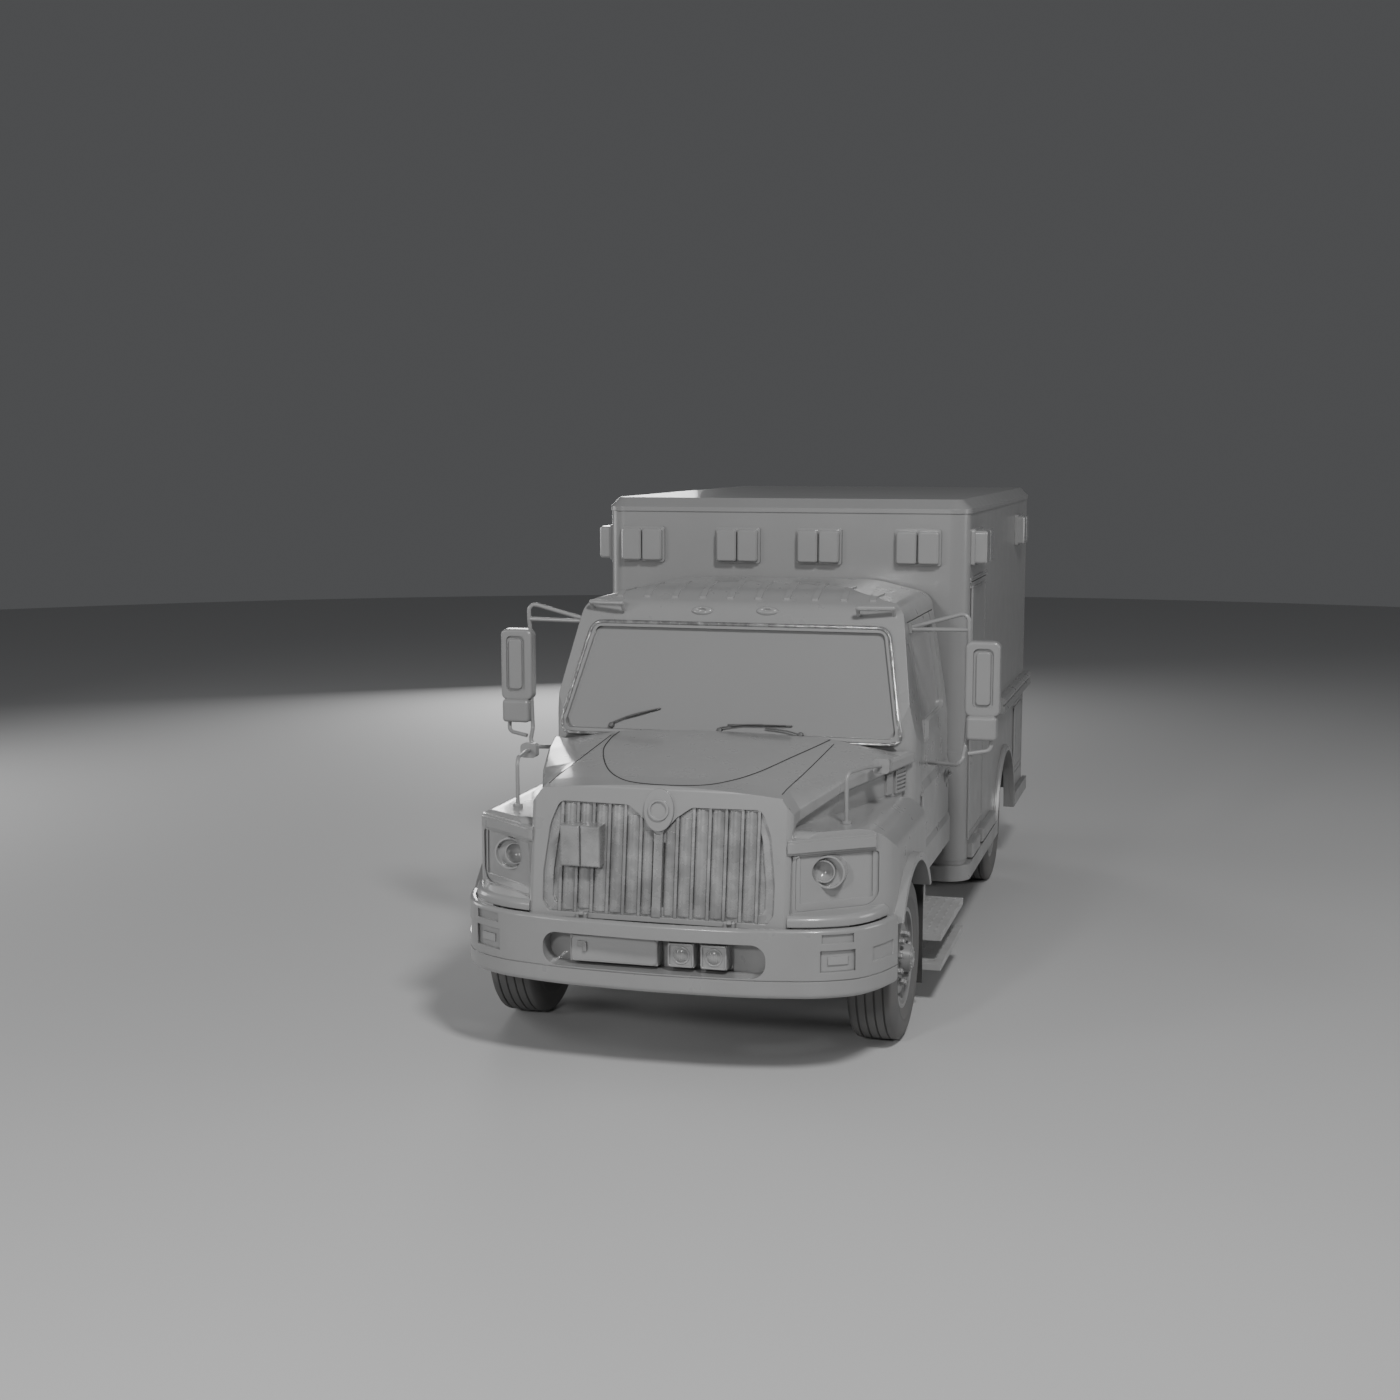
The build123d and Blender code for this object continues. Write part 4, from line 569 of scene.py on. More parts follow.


# Bonnet seams and creases as near-black lines of painted shade, wipers and roof marker lamps

bonnet = {
    "seamRadius": 0.0035,
    "creaseRadius": 0.0028,
    "lift": 0.0002,
    "seam": ((1.57, -0.655), (1.75, -0.65), (2.077, -0.590), (2.529, -0.422), (2.787, -0.262),
             (2.875, -0.085), (2.861, 0.170), (2.748, 0.324), (2.478, 0.442), (2.063, 0.535), (1.567, 0.645)),
    "crease": ((1.534, 0.686), (2.191, 0.671), (2.84, 0.65)),
}


def bonnetLine(points, side=1):
    # drawn in plan, then dropped on the bonnet
    flat = smoothLine([(x, y * side, 0) for x, y in points])
    return [onTop("hood_shell", point.x, point.y, bonnet["lift"]) for point in flat]


def makeBonnetSeams():
    # near-black tubes on the bonnet: painted shade along its seam and its creases
    mesh = tubeShape(bonnetLine(bonnet["seam"]), bonnet["seamRadius"], 6)
    addPiece("bonnet_seam_shade_line", mesh, bodyOf["hood_shell"], "flap_rubber", finish="seam_painted_shade")
    mesh = bmesh.new()
    for side in (1, -1):
        joinInto(mesh, tubeShape(bonnetLine(bonnet["crease"], side), bonnet["creaseRadius"], 6))
    addPiece("bonnet_crease_shade_lines", mesh, bodyOf["hood_shell"], "flap_rubber", finish="seam_painted_shade")


wipers = {
    "outward": (0.9, 0, 0.43),  # square to the glass
    "armRadius": 0.006,
    "armSqueeze": 0.7,
    "armLift": 0.022,
    "armDrop": 0.003,  # nearer the glass at each further point
    "arms": (((1.486, -0.727, 1.665), (1.463, -0.608, 1.715), (1.443, -0.456, 1.755)),
             ((1.500, -0.040, 1.668), (1.490, 0.10, 1.690), (1.482, 0.22, 1.694)),
             ((1.500, 0.450, 1.640), (1.494, 0.36, 1.662), (1.488, 0.238, 1.672))),
    "bladeLift": 0.010,
    "bladeSection": (0.009, 0.016),
    "bladeBevel": 0.002,
    "blades": (((1.470, -0.640, 1.700), (1.441, -0.430, 1.762)),
               ((1.482, 0.002, 1.684), (1.480, 0.398, 1.692))),
    "spineRadius": 0.0035,
    "spineLift": 0.008,
    "spineBow": 0.006,
    "pivotLift": 0.012,
    "pivots": ((1.490, -0.727, 1.655), (1.510, -0.045, 1.655), (1.512, 0.455, 1.632)),
    "pivotProfile": ((0, -0.03), (0.016, -0.03), (0.018, 0.006), (0.014, 0.014), (0.006, 0.017), (0, 0.017)),
}


def nearGlass(point, lift):
    # the same point moved along the windscreen's normal till it stands just proud of it
    spot, normal, face, reach = surfaceOf("windscreen").find_nearest(at(*point))
    outward = normal if normal.x > 0 else -normal
    return spot + outward * lift


def makeWipers():
    outward = Vector(wipers["outward"])
    mesh = bmesh.new()
    for arm in wipers["arms"]:
        line = [nearGlass(point, wipers["armLift"] - wipers["armDrop"] * k) for k, point in enumerate(arm)]
        joinInto(mesh, tubeShape(smoothLine(line, 4), wipers["armRadius"], 8, wipers["armSqueeze"]))
    for ends in wipers["blades"]:
        a, b = [nearGlass(point, wipers["bladeLift"]) for point in ends]
        blade = boxShape(((b - a).length, *wipers["bladeSection"]), wipers["bladeBevel"])
        joinInto(mesh, blade, facing((a + b) / 2, outward, up=(b - a).cross(outward)))
        spine = []
        for t in (0.1, 0.3, 0.5, 0.7, 0.9):
            spine.append(a.lerp(b, t) + outward * (wipers["spineLift"] + wipers["spineBow"] * sin(pi * t)))
        joinInto(mesh, tubeShape(spine, wipers["spineRadius"], 6))
    for place in wipers["pivots"]:
        knob = turnedShape(wipers["pivotProfile"], 20)
        joinInto(mesh, knob, facing(nearGlass(place, wipers["pivotLift"]), outward))
    addPiece("wipers", mesh, bodyOf["windscreen"], "chassis_paint")


markerLamps = {
    "places": ((1.170, -0.242), (1.166, 0.168)),
    "outward": (0.83, 0, 0.56),
    "squeeze": 0.42,
    "profile": ((0, 0.0), (0.014, 0.001), (0.020, 0.006), (0.028, 0.016), (0.048, 0.018), (0.062, 0.013),
                (0.071, 0.002), (0.071, -0.008), (0, -0.008)),
}


def makeMarkerLamps():
    mesh = bmesh.new()
    for x, y in markerLamps["places"]:
        pod = turnedShape(markerLamps["profile"], 36)
        bmesh.ops.scale(pod, vec=(1, markerLamps["squeeze"], 1), verts=pod.verts)
        joinInto(mesh, pod, facing(onTop("cab_shell", x, y), markerLamps["outward"]))
    addPiece("roof_marker_lamps", mesh, bodyOf["cab_shell"], "lamp_lens", smooth=50)


makeBonnetSeams()
makeWipers()
makeMarkerLamps()
print("bonnet seams, wipers and roof markers made")


# Rounded slats between the grille's bars

grilleSlats = {
    "middleStrip": 0.024,  # half width of the strip at the centre
    "barFirst": 0.101,
    "barPitch": 0.089,
    "bars": 6,
    "planeHeights": (1.0, 1.3),  # where the bars' leaning front is read
    "halfWide": 0.034,
    "innerHalf": 0.028,
    "behindBars": 0.013,
    "deep": 0.010,
    "rise": 0.009,
    "low": 0.86,
    "high": 1.50,
    "step": 0.006,
    "fewestSteps": 10,
    "across": 8,
}


def frontOf(node, y, z):
    spot, normal = hit(node, at(5.0, y, z), (-1, 0, 0))
    return -9.0 if spot is None else spot.x  # far behind where nothing is met


def openHeights(middle, half):
    # the heights at which the grille, not the bonnet, fills the whole width
    heights = []
    z = grilleSlats["low"]
    while z < grilleSlats["high"]:
        spots = [middle + share * half for share in (-1, 0, 1)]
        if all(frontOf("grille", y, z) > frontOf("hood_shell", y, z) for y in spots):
            heights.append(z)
        z += grilleSlats["step"]
    return heights


def slatShape(foot, top, half):
    section = [Vector((-grilleSlats["deep"], half, 0)), Vector((-grilleSlats["deep"], -half, 0))]
    for n in range(grilleSlats["across"] + 1):
        share = n / grilleSlats["across"] * 2 - 1
        section.append(Vector((grilleSlats["rise"] * (1 - share ** 2), share * half, 0)))
    shape = bmesh.new()
    face = shape.faces.new([shape.verts.new(foot + point) for point in section])
    done = bmesh.ops.extrude_face_region(shape, geom=[face], use_keep_orig=True)
    bmesh.ops.translate(shape, vec=top - foot, verts=newVerts(done))
    bmesh.ops.recalc_face_normals(shape, faces=shape.faces[:])
    return shape


def makeGrilleSlats():
    first, pitch = grilleSlats["barFirst"], grilleSlats["barPitch"]
    low, high = grilleSlats["planeHeights"]
    lowX, highX = frontOf("grille", first + pitch, low), frontOf("grille", first + pitch, high)
    lean = (highX - lowX) / (high - low)
    middles = [(grilleSlats["middleStrip"] + first) / 2]
    middles += [first + pitch * (k + 0.5) for k in range(grilleSlats["bars"] - 1)]
    mesh = bmesh.new()
    for side in (1, -1):
        for k, middle in enumerate(middles):
            half = grilleSlats["halfWide"] if k else grilleSlats["innerHalf"]
            heights = openHeights(side * middle, half)
            if len(heights) < grilleSlats["fewestSteps"]:
                continue
            foot, top = [Vector((lowX + lean * (z - low) - grilleSlats["behindBars"], side * middle, z))
                         for z in (heights[0] + grilleSlats["step"], heights[-1] - grilleSlats["step"])]
            joinInto(mesh, slatShape(foot, top, half))
    addPiece("grille_slats", mesh, bodyOf["grille"], "bright_grille", smooth=40)


# Bright worn trim round the windscreen's gasket, its light colour a painted highlight

screenTrim = {
    "corners": ((-1.060, 1.612), (1.060, 1.612), (0.930, 2.268), (-0.930, 2.268)),
    "radius": 0.0125,
    "cornerReach": 0.07,
    "cornerSteps": 5,
    "lift": 0.001,
    "sample": 0.06,  # longest step between two points on the cab
}


def makeScreenTrim():
    flat = [Vector((0, y, z)) for y, z in screenTrim["corners"]]
    middle = (flat[0] + flat[1]) / 2
    loop = softCorners([middle] + flat[1:] + [flat[0], middle], screenTrim["cornerReach"],
                       screenTrim["cornerSteps"])
    line = []
    for before, after in zip(loop, loop[1:]):
        steps = max(1, int((after - before).length / screenTrim["sample"]))
        for k in range(steps):
            point = before.lerp(after, k / steps)
            spot, normal = hit("cab_shell", at(4.0, point.y, point.z), (-1, 0, 0))
            if spot is not None:
                line.append(spot + normal * screenTrim["lift"])
    mesh = tubeShape(line + [line[0]], screenTrim["radius"], 8)
    addPiece("screen_trim", mesh, bodyOf["cab_shell"], "cab_paint", finish="worn_gasket_painted_highlight", smooth=60)


makeGrilleSlats()
makeScreenTrim()
print("grille slats and screen trim made")


# Module trims: latches, pressed borders, corner guards, drip rails, rear door fittings

moduleDoors = {
    # node: side, front x, rear x, low, high, latch x
    "left_front_locker": (1, -0.160, -0.960, 0.706, 2.450, -0.250),
    "left_rear_locker": (1, -2.900, -3.540, 0.706, 1.290, -2.990),
    "side_door": (-1, -0.900, -1.650, 0.706, 2.480, -1.565),
    "right_rear_locker": (-1, -2.900, -3.540, 0.706, 1.290, -2.990),
}

latch = {
    "plate": (0.065, 0.05, 0.018, 0.006, 0.0025),
    "ring": (0.05, 0.036, 0.012, 0.004, 0.0015, 0.006),
    "ringPlace": (0, 0, 0.0055),
    "lever": ((0.062, 0.045, 0.008), 0.003, 3, (0.006, 0, 0.010)),
    "lock": ((0, 0), (0.008, 0), (0.008, 0.004), (0.006, 0.0055), (0, 0.0055)),
    "lockPlace": (-0.043, 0, 0.0065),
    "highest": 0.55,  # above the leaf's foot
}

pressedBorder = {
    "inset": 0.03,
    "section": (0.035, 0.0025, 0.001, 0.012),  # corner, thickness, bevel, band
}


def latchShape():
    # a paddle latch: dished plate, recess ring and a lever that stands a little proud
    shape = plateShape(*latch["plate"])
    joinInto(shape, plateShape(*latch["ring"]), Matrix.Translation(latch["ringPlace"]))
    joinInto(shape, boxShape(*latch["lever"]))
    joinInto(shape, turnedShape(latch["lock"], 16), Matrix.Translation(latch["lockPlace"]))
    return shape


def makeDoorFittings():
    for node, (side, front, rear, low, high, latchX) in moduleDoors.items():
        mesh = bmesh.new()
        tall = high - low
        spot = onSide(node, latchX, low + min(tall / 2, latch["highest"]), side)
        joinInto(mesh, latchShape(), facing(spot, (0, side, 0)))
        halfWide, halfTall = [size / 2 - pressedBorder["inset"] for size in (front - rear, tall)]
        border = plateShape(halfWide, halfTall, *pressedBorder["section"])
        joinInto(mesh, border, facing(at((front + rear) / 2, spot.y, (low + high) / 2), (0, side, 0)))
        addPiece(node + "_fittings", mesh, bodyOf[node], "rail_trim")


cornerGuard = {
    "front": 0.0,
    "halfWidth": 1.232,
    "corner": 0.120,
    "low": 0.60,
    "high": 1.345,
    "thick": 0.003,
    "frontReach": 0.05,
    "sideReach": 0.09,
    "steps": 12,
}


def makeCornerGuards():
    radius = cornerGuard["corner"] + cornerGuard["thick"] / 2
    x, y = cornerGuard["front"] - cornerGuard["corner"], cornerGuard["halfWidth"] - cornerGuard["corner"]
    points = [(x + radius, y - cornerGuard["frontReach"])]
    for k in range(cornerGuard["steps"] + 1):
        angle = pi / 2 * k / cornerGuard["steps"]
        points.append((x + radius * cos(angle), y + radius * sin(angle)))
    points.append((x - cornerGuard["sideReach"], y + radius))
    mesh = bmesh.new()
    verts = [mesh.verts.new(at(*point, cornerGuard["low"])) for point in points]
    edges = [mesh.edges.new(pair) for pair in zip(verts, verts[1:])]
    done = bmesh.ops.extrude_edge_only(mesh, edges=edges)
    bmesh.ops.translate(mesh, vec=(0, 0, cornerGuard["high"] - cornerGuard["low"]), verts=newVerts(done))
    bmesh.ops.recalc_face_normals(mesh, faces=mesh.faces[:])
    bmesh.ops.solidify(mesh, geom=mesh.faces[:], thickness=cornerGuard["thick"])
    onBothSides(mesh)
    addPiece("corner_guards", mesh, bodyOf["module_front"], "module_paint")


def railShape(points, corner, radius, sides):
    return tubeShape([at(*point) for point in softCorners(points, corner)], radius, sides)


dripRail = {
    "radius": 0.007,
    "corner": 0.02,
    "reach": 0.03,  # past the leaf at each end
    "foot": 0.004,
    "top": 0.032,
    "tallLeaf": 2.0,  # lower leaves have none
    "rear": ((-3.712, -0.70, 2.535), (-3.712, -0.70, 2.565), (-3.712, 0.70, 2.565), (-3.712, 0.70, 2.535)),
}


def makeDripRails():
    mesh = bmesh.new()
    lines = []
    for side, front, rear, low, high, latchX in moduleDoors.values():
        if high > dripRail["tallLeaf"]:
            y = cornerGuard["halfWidth"] * side
            ahead, behind = front + dripRail["reach"], rear - dripRail["reach"]
            foot, top = high + dripRail["foot"], high + dripRail["top"]
            lines.append(((ahead, y, foot), (ahead, y, top), (behind, y, top), (behind, y, foot)))
    for line in lines + [dripRail["rear"]]:
        joinInto(mesh, railShape(line, dripRail["corner"], dripRail["radius"], 8))
    addPiece("drip_rails", mesh, bodyOf["module_left"], "rail_trim")


rearDoor = {
    "latch": (0.08, 1.45),  # across, up
    "leafMiddle": 0.34,
    "windowMiddle": 1.99,
    "windowFrame": (0.212, 0.292, 0.07, 0.006, 0.002, 0.020),
    "barHeight": 1.56,
    "barAcross": (0.10, 0.60),
    "barFoot": 0.004,  # how far the bar's ends sink into the leaf
    "barOut": 0.045,
    "barCorner": 0.03,
    "barRadius": 0.011,
    "ridgeMiddle": 1.28,
    "ridge": (0.27, 0.22, 0.03, 0.003, 0.001, 0.012),
}


def makeRearFittings():
    for side, node in ((1, "rear_left_door"), (-1, "rear_right_door")):
        mesh = bmesh.new()
        y, z = rearDoor["latch"]
        spot, normal = hit(node, at(-5.0, side * y, z), (1, 0, 0))
        joinInto(mesh, latchShape(), facing(spot, (-1, 0, 0)))
        back = spot.x - frameShift
        middle = side * rearDoor["leafMiddle"]
        window = facing(at(back, middle, rearDoor["windowMiddle"]), (-1, 0, 0))
        joinInto(mesh, plateShape(*rearDoor["windowFrame"]), window)
        near, far = [side * across for across in rearDoor["barAcross"]]
        foot, out, z = back + rearDoor["barFoot"], back - rearDoor["barOut"], rearDoor["barHeight"]
        bar = ((foot, near, z), (out, near, z), (out, far, z), (foot, far, z))
        joinInto(mesh, railShape(bar, rearDoor["barCorner"], rearDoor["barRadius"], 12))
        ridge = facing(at(back, middle, rearDoor["ridgeMiddle"]), (-1, 0, 0))
        joinInto(mesh, plateShape(*rearDoor["ridge"]), ridge)
        addPiece(node + "_fittings", mesh, bodyOf[node], "rail_trim")


makeDoorFittings()
makeCornerGuards()
makeDripRails()
makeRearFittings()
print("module trims made")


# Tail lamps, plate holder and mirror glass

tailLamps = {
    "place": (-3.7555, 0.98),
    "rows": ((1.17, 0.15), (1.01, 0.13), (0.86, 0.13)),  # middle and height of each lamp
    "halfWide": 0.068,
    "inset": 0.008,
    "lens": (0.018, 0.012, 0.005),  # corner, thickness, bevel
    "rib": (0.11, 0.004, 0.004),
    "ribBevel": 0.001,
    "ribPitch": 0.15,  # share of the lamp's height
    "ribPlace": 0.0125,
}


def makeTailLamps():
    x, y = tailLamps["place"]
    mesh = bmesh.new()
    for z, tall in tailLamps["rows"]:
        lens = plateShape(tailLamps["halfWide"], tall / 2 - tailLamps["inset"], *tailLamps["lens"])
        for k in range(-2, 3):
            place = (0, k * tall * tailLamps["ribPitch"], tailLamps["ribPlace"])
            joinInto(lens, boxShape(tailLamps["rib"], tailLamps["ribBevel"], 1, place))
        joinInto(mesh, lens, facing(at(x, y, z), (-1, 0, 0)))
    onBothSides(mesh)
    addPiece("tail_lamp_lenses", mesh, bodyOf["module_rear"], "lamp_lens")


plateHolder = {
    "place": (-3.7105, 0.0, 0.86),
    "plate": (0.165, 0.085, 0.012, 0.004, 0.001),
    "rimBand": 0.010,
    "rimPlace": (0, 0, 0.0035),
    "bolts": ((-0.09, 0.062, 0.004), (0.09, 0.062, 0.004)),
    "boltProfile": ((0, 0), (0.008, 0), (0.008, 0.003), (0.005, 0.005), (0, 0.005)),
}


def makePlateHolder():
    mesh = plateShape(*plateHolder["plate"])
    rim = plateShape(*plateHolder["plate"], plateHolder["rimBand"])
    joinInto(mesh, rim, Matrix.Translation(plateHolder["rimPlace"]))
    for place in plateHolder["bolts"]:
        joinInto(mesh, turnedShape(plateHolder["boltProfile"], 12), Matrix.Translation(place))
    bmesh.ops.transform(mesh, matrix=facing(at(*plateHolder["place"]), (-1, 0, 0)), verts=mesh.verts)
    addPiece("plate_holder", mesh, bodyOf["module_rear"], "rail_trim")


mirrorGlass = {
    "behind": -1.0,  # the search for the glass starts here
    "middleY": 1.479,
    "panes": ((1.965, 0.085, 0.185), (1.665, 0.080, 0.062)),  # height, half width, half height
    "glass": (0.02, 0.003, 0.001),  # corner, thickness, bevel
    "lipOut": 0.006,
    "lip": (0.024, 0.006, 0.002, 0.007),
}


def makeMirrorGlass():
    for side, node in ((1, "left_mirror"), (-1, "right_mirror")):
        mesh = bmesh.new()
        for z, halfWide, halfTall in mirrorGlass["panes"]:
            start = at(mirrorGlass["behind"], side * mirrorGlass["middleY"], z)
            spot, normal = hit(node, start, (1, 0, 0))
            if spot is None:
                continue
            pane = plateShape(halfWide, halfTall, *mirrorGlass["glass"])
            out = mirrorGlass["lipOut"]
            joinInto(pane, plateShape(halfWide + out, halfTall + out, *mirrorGlass["lip"]))
            joinInto(mesh, pane, facing(spot, (-1, 0, 0)))
        addPiece(node + "_glass", mesh, bodyOf[node], "smoked_glass", finish="mirror_glass")


makeTailLamps()
makePlateHolder()
makeMirrorGlass()
print("tail lamps, plate holder and mirror glass made")


# Tyres with a grooved tread, one for each CAD tyre

tyre = {
    "radius": 0.465,
    "width": 0.282,
    # from the bead to the shoulder: radius, share of the half width
    "wall": ((0.286, 0.86), (0.294, 0.88), (0.308, 0.90), (0.330, 0.95), (0.345, 0.985), (0.349, 0.975),
             (0.372, 0.995), (0.400, 0.985), (0.425, 0.945), (0.445, 0.88), (0.458, 0.80)),
    "shoulder": 0.74,
    "crownFall": 0.0045 / 0.113,  # the tread falls away a little towards its shoulders
    "grooves": (-0.075, -0.025, 0.025, 0.075),
    "grooveWidth": 0.009,
    "grooveDeep": 0.011,
    "grooveEdge": 0.002,
    "steps": 120,
    "twinWidth": 0.4,  # a tyre node wider than this is a pair
}


def crown(across):
    return tyre["radius"] - tyre["crownFall"] * across


def tyreProfile():
    half, edge = tyre["width"] / 2, tyre["grooveWidth"] / 2
    wall = [(radius, -half * share) for radius, share in tyre["wall"]]
    wall.append((crown(half * tyre["shoulder"]), -half * tyre["shoulder"]))
    line = list(wall)
    for middle in tyre["grooves"]:
        top = crown(abs(middle))
        foot = top - tyre["grooveDeep"]
        side = [(top, edge + 0.0015), (top - tyre["grooveEdge"], edge), (foot, edge - tyre["grooveEdge"])]
        line += [(radius, middle - out) for radius, out in side]
        line += [(radius, middle + out) for radius, out in reversed(side)]
    line += [(radius, -across) for radius, across in reversed(wall)]
    return line + line[:1]


def makeTyre(node):
    low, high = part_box(node)
    middle = Vector([(a + b) / 2 for a, b in zip(low, high)])
    halves = [middle.y]
    if high[1] - low[1] > tyre["twinWidth"]:
        halves = [low[1] + tyre["width"] / 2, high[1] - tyre["width"] / 2]
    mesh = bmesh.new()
    for y in halves:
        turn = Matrix.Translation((middle.x, y, middle.z)) @ Matrix.Rotation(radians(90), 4, "X")
        joinInto(mesh, turnedShape(tyreProfile(), tyre["steps"]), turn)
    piece = addPiece(node + "_tread", mesh, bodyOf[node], "tyre_rubber", smooth=32)
    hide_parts(node)


for node in frame["nodes"]:
    if slotOfNode[node] == "tyre_rubber":
        makeTyre(node)
print("tyres made")


# Wheel nuts and hub caps

wheelFittings = {
    "nuts": 10,
    "nutRing": 0.1429,
    "nut": ((0, 0), (0.025, 0), (0.025, 0.004), (0.0195, 0.006), (0.0195, 0.028), (0.013, 0.036), (0, 0.037)),
    "cap": ((0, 0.006), (0.030, 0.006), (0.034, 0.010), (0.044, 0.010), (0.048, 0.005), (0.062, 0.004),
            (0.064, -0.001), (0, -0.001)),
    "bolts": 8,
    "boltRing": 0.055,
    "boltOut": 0.004,  # past the end of the hub
    "bolt": ((0, 0), (0.006, 0), (0.006, 0.004), (0.004, 0.006), (0, 0.006)),
    # middle of the axle, foot of the nuts, end of the hub
    "front": (1.986, 1.153, 1.213),
    "rear": (-2.236, 0.886, 1.132),
}


def addRing(mesh, profile, count, offset, radius, middle, side):
    # the same small fastener, repeated round the axle
    for k in range(count):
        angle = 2 * pi * (k + offset) / count
        spot = middle + Vector((sin(angle), 0, cos(angle))) * radius
        joinInto(mesh, turnedShape(profile, 6), facing(spot, (0, side, 0)))


def makeWheelFittings(node, side, place):
    x, foot, end = place
    outs = (foot, end, end + wheelFittings["boltOut"])
    nutMiddle, capMiddle, boltMiddle = [at(x, out * side, tyre["radius"]) for out in outs]
    mesh = bmesh.new()
    addRing(mesh, wheelFittings["nut"], wheelFittings["nuts"], 0, wheelFittings["nutRing"], nutMiddle, side)
    joinInto(mesh, turnedShape(wheelFittings["cap"]), facing(capMiddle, (0, side, 0)))
    addRing(mesh, wheelFittings["bolt"], wheelFittings["bolts"], 0.5, wheelFittings["boltRing"], boltMiddle,
            side)
    addPiece(node + "_fittings", mesh, bodyOf[node], "rail_trim")


for side, word in ((1, "left"), (-1, "right")):
    makeWheelFittings("front_" + word + "_rim", side, wheelFittings["front"])
    makeWheelFittings("rear_" + word + "_rim", side, wheelFittings["rear"])
print("wheel nuts and hub caps made")


# Fittings in the bumper's slot, cab door handles and grip on the treads

bumperFittings = {
    "speakerPlace": (3.029, -0.225, 0.678),
    "speaker": (0.245, 0.072, 0.03, 0.005, 0.002, 0.008),
    "latchPlace": (3.031, -0.404, 0.700),
    "latch": ((0.05, 0.034, 0.012), 0.004),
    "lever": ((0.022, 0.05, 0.008), 0.003, 2, (0.018, -0.014, 0.006)),
    "lamps": ((3.034, 0.150, 0.677), (3.034, 0.330, 0.677)),
    "lamp": (0.072, 0.065, 0.016, 0.010, 0.004, 0.012),
    "lens": ((0, 0.012), (0.012, 0.0115), (0.026, 0.009), (0.036, 0.004), (0.040, 0.0), (0.044, 0.004),
             (0.049, 0.004), (0.051, -0.002), (0, -0.002)),
    "rib": (0.003, 0.05, 0.003),
    "ribBevel": 0.001,
    "ribPitch": 0.011,
    "ribHigh": 0.0115,
    "ribDrop": 0.001,  # at each rib away from the middle
}


def makeBumperFittings():
    outward = (1, 0, 0)
    mesh = bmesh.new()
    joinInto(mesh, plateShape(*bumperFittings["speaker"]),
             facing(at(*bumperFittings["speakerPlace"]), outward))
    shape = boxShape(*bumperFittings["latch"])
    joinInto(shape, boxShape(*bumperFittings["lever"]))
    joinInto(mesh, shape, facing(at(*bumperFittings["latchPlace"]), outward))
    addPiece("speaker_trim", mesh, bodyOf["bumper_lamps"], "rail_trim")
    mesh = bmesh.new()
    for place in bumperFittings["lamps"]:
        lamp = plateShape(*bumperFittings["lamp"])
        joinInto(lamp, turnedShape(bumperFittings["lens"]))
        for k in range(-2, 3):
            height = bumperFittings["ribHigh"] - abs(k) * bumperFittings["ribDrop"]
            rib = boxShape(bumperFittings["rib"], bumperFittings["ribBevel"], 1,
                           (k * bumperFittings["ribPitch"], 0, height))
            joinInto(lamp, rib)
        joinInto(mesh, lamp, facing(at(*place), outward))
    addPiece("slot_lamp_lenses", mesh, bodyOf["bumper_lamps"], "lamp_lens")


cabHandle = {
    "place": (0.215, 1.225),  # along, up
    "cup": (0.085, 0.038, 0.03, 0.006, 0.003),
    "ring": (0.075, 0.029, 0.024, 0.003, 0.001, 0.006),
    "ringPlace": (0, 0, 0.0055),
    "grip": ((-0.07, 0.004, 0.0), (-0.066, 0.004, 0.022), (0.06, 0.004, 0.024), (0.07, 0.004, 0.0)),
    "gripCorner": 0.02,
    "gripRadius": 0.009,
    "lockPlace": (0.195, 1.150),
    "lock": ((0, 0.004), (0.004, 0.004), (0.009, 0.005), (0.013, 0.003), (0.014, -0.001), (0, -0.001)),
}


def makeCabDoorHandles():
    for side, node in ((1, "left_door"), (-1, "right_door")):
        outward = (0, side, 0)
        mesh = bmesh.new()
        cup = plateShape(*cabHandle["cup"])
        joinInto(cup, plateShape(*cabHandle["ring"]), Matrix.Translation(cabHandle["ringPlace"]))
        grip = softCorners(cabHandle["grip"], cabHandle["gripCorner"])
        joinInto(cup, tubeShape(grip, cabHandle["gripRadius"]))
        joinInto(mesh, cup, facing(onSide(node, *cabHandle["place"], side), outward))
        lock = turnedShape(cabHandle["lock"], 20)
        joinInto(mesh, lock, facing(onSide(node, *cabHandle["lockPlace"], side), outward))
        addPiece(node + "_handle", mesh, bodyOf[node], "mirror_housing")


treadGrip = {
    "tops": {"cab_steps": (0.445, 0.262), "rear_step": (0.515,)},
    "pitch": 0.052,
    "bar": ((0.024, 0.007, 0.0035), 0.0012, 1),
    "turn": 45,
    "above": 0.02,  # where the search for the tread starts
    "level": 0.95,  # least upward part of the normal
    "reach": 0.005,
}


def makeTreadGrip():
    pitch = treadGrip["pitch"]
    for node, tops in treadGrip["tops"].items():
        low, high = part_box(node)
        columns, rows = [int((high[axis] - low[axis]) / pitch) for axis in (0, 1)]
        places = [(top, i, j) for top in tops for i in range(columns) for j in range(rows)]
        mesh = bmesh.new()
        for top, i, j in places:
            x, y = low[0] + pitch * (i + 0.5), low[1] + pitch * (j + 0.5)
            spot, normal = hit(node, Vector((x, y, top + treadGrip["above"])), (0, 0, -1))
            if spot is None or normal.z < treadGrip["level"] or spot.z < top - treadGrip["reach"]:
                continue
            turn = Matrix.Rotation(radians(treadGrip["turn"] * (1 if (i + j) % 2 else -1)), 4, "Z")
            joinInto(mesh, boxShape(*treadGrip["bar"]), Matrix.Translation(spot) @ turn)
        addPiece(node + "_grip", mesh, bodyOf[node], "tread_plate")


makeBumperFittings()
makeCabDoorHandles()
makeTreadGrip()
print("bumper fittings, door handles and tread grip made")


# Seats: a pedestal, a cushion and a back each, and the bench's pads

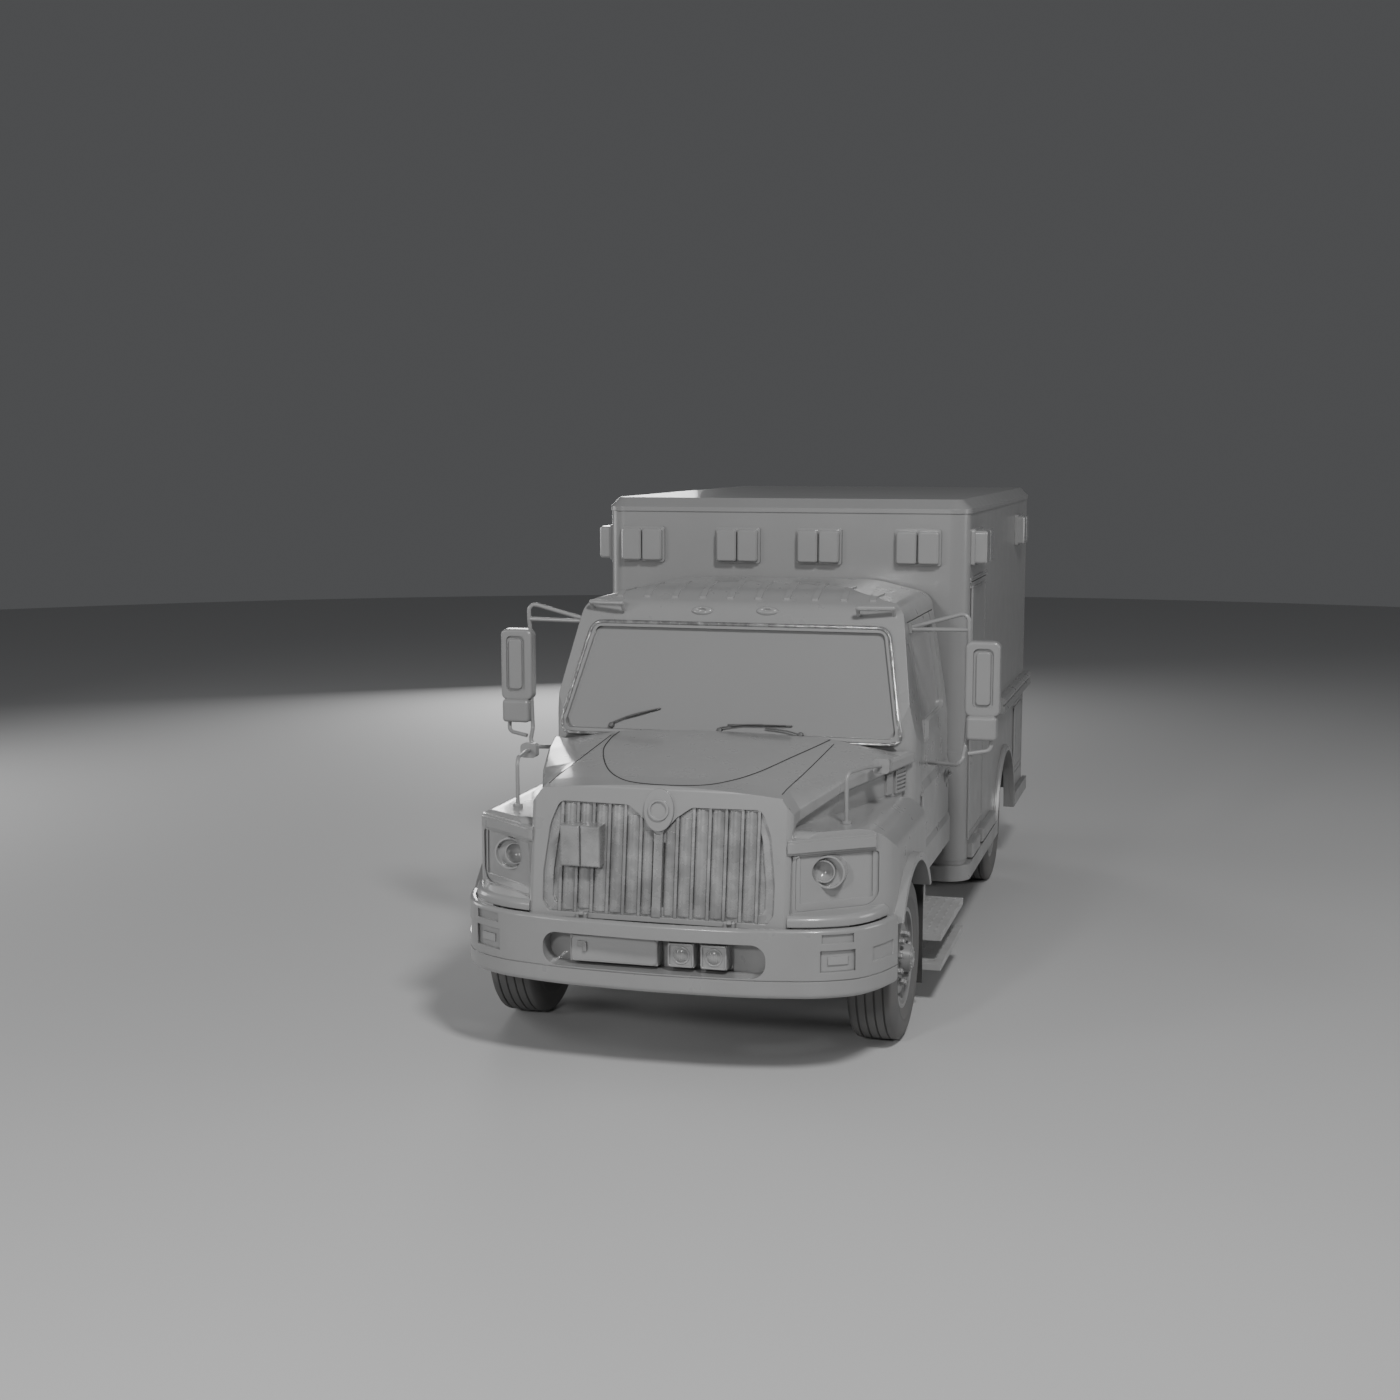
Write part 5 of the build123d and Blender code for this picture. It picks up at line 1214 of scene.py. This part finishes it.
seat = {
    "middleY": 0.495,
    "cushion": (0.505, 0.500, 0.150),  # across, along, thick
    "cushionPlace": (0.515, 1.315),
    "back": (0.480, 0.640, 0.120),
    "backPlace": (0.305, 1.735),
    "backLean": 0.10,
    "channels": (-0.45, 0.0, 0.45),  # sewn lines, from -1 at one end to 1 at the other
    "baseX": 0.49,
    "baseWide": 0.44,
    "baseSink": 0.01,  # into the cushion
    "runner": ((0.46, 0.03, 0.03), 0.006),
    "runnerOut": 0.2,
    "runnerHigh": 0.02,
    "shell": ((0.05, 0.40, 0.55), 0.02, 3),
    "shellPlace": (0.262, 1.72),
}

padding = {
    "cuts": 23,
    "crown": 0.02,
    "underside": 0.2,  # share of the crown that shows below
    "radius": 0.045,
    "channelDeep": 0.010,
    "channelWide": 0.05,
    "waist": (0.025, 0.02),  # how much the middle of each side draws in
    "soften": 0.5,
    "pipe": 0.0045,
    "pipeWaist": 0.02,
    "pipeInset": 0.012,
    "pipeCorner": 0.04,
    "pipeDrop": 0.022,
}

benchPads = {
    "places": (-2.57, -2.03),
    "middleY": -0.90,
    "size": (0.50, 0.52, 0.080),
}


def cushionShape(sizes, channels):
    shape = bmesh.new()
    bmesh.ops.create_cube(shape, size=2.0)
    bmesh.ops.subdivide_edges(shape, edges=shape.edges[:], cuts=padding["cuts"], use_grid_fill=True)
    half, radius = Vector(sizes) / 2, padding["radius"]
    for vert in shape.verts:
        u, v, w = vert.co
        full = Vector((u * half.x, v * half.y, w * half.z))
        inner = Vector([max(-(h - radius), min(h - radius, c)) for c, h in zip(full, half)])
        place = inner + (full - inner).normalized() * radius if (full - inner).length > 1e-6 else full
        swell = padding["crown"] * (1 - u * u) * (1 - v * v)
        place.z += swell * (1 if w > 0 else padding["underside"] * w)
        if w > 0:
            for line in channels:
                groove = padding["channelDeep"] * exp(-((v - line) / padding["channelWide"]) ** 2)
                place.z -= groove * (1 - u ** 8)
        place.x *= 1 - padding["waist"][0] * (1 - v * v)
        place.y *= 1 - padding["waist"][1] * (1 - u * u)
        vert.co = place
    bmesh.ops.smooth_vert(shape, verts=shape.verts[:], factor=padding["soften"],
                          use_axis_x=True, use_axis_y=True, use_axis_z=True)
    return shape


def pipingShape(across, along, thick):
    inset, height = padding["pipeInset"], thick / 2 - padding["pipeDrop"]
    ring = roundedRect(across / 2 - inset, along / 2 - inset, padding["pipeCorner"], 6)
    points = [(x * (1 - padding["pipeWaist"] * (1 - (y * 2 / along) ** 2)), y, height) for x, y in ring]
    return tubeShape(points + points[:1], padding["pipe"], 6)


def addPad(name, sizes, turn, replaced=None, channels=()):
    mesh = bmesh.new()
    joinInto(mesh, cushionShape(sizes, channels), turn)
    pad = addPiece(name, mesh, "root", "seat_cover", smooth=80)
    mesh = bmesh.new()
    joinInto(mesh, pipingShape(*sizes), turn)
    pipe = addPiece(name + "_piping", mesh, "root", "seat_cover", smooth=80)
    if replaced:
        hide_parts(replaced)
        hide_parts(replaced)


def makeSeat(word, y, foot):
    lean = (1, 0, seat["backLean"])
    x, z = seat["cushionPlace"]
    turn = facing(at(x, y, z), (0, 0, 1), up=(1, 0, 0))
    addPad(word + "_seat_cushion", seat["cushion"], turn, "seats", seat["channels"])
    x, z = seat["backPlace"]
    addPad(word + "_seat_back", seat["back"], facing(at(x, y, z), lean), "seats", seat["channels"])
    mesh = bmesh.new()
    x, wide = seat["baseX"], seat["baseWide"]
    top = seat["cushionPlace"][1] - seat["cushion"][2] / 2 + seat["baseSink"]
    block = boxShape((wide, wide, top - foot), 0.02, 3)
    joinInto(mesh, block, Matrix.Translation(at(x, y, (foot + top) / 2)))
    for out in (-seat["runnerOut"], seat["runnerOut"]):
        place = at(x, y + out, foot + seat["runnerHigh"])
        joinInto(mesh, boxShape(*seat["runner"]), Matrix.Translation(place))
    x, z = seat["shellPlace"]
    turn = facing(at(x, y, z), lean) @ Matrix.Rotation(pi / 2, 4, "Y")
    joinInto(mesh, boxShape(*seat["shell"]), turn)
    pedestal = addPiece(word + "_seat_base", mesh, "root", "dash_plastic")
    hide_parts("seats")


def makeSeats():
    low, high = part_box("seats")
    for side, word in ((1, "left"), (-1, "right")):
        makeSeat(word, seat["middleY"] * side, low[2])
    for k, x in enumerate(benchPads["places"]):
        spot = onTop("module_cabinets", x, benchPads["middleY"])
        lift = Vector((0, 0, benchPads["size"][2] / 2))
        addPad("bench_pad_%d" % (k + 1), benchPads["size"], facing(spot + lift, (0, 0, 1), up=(1, 0, 0)))


makeSeats()
print("seats and bench pads made")
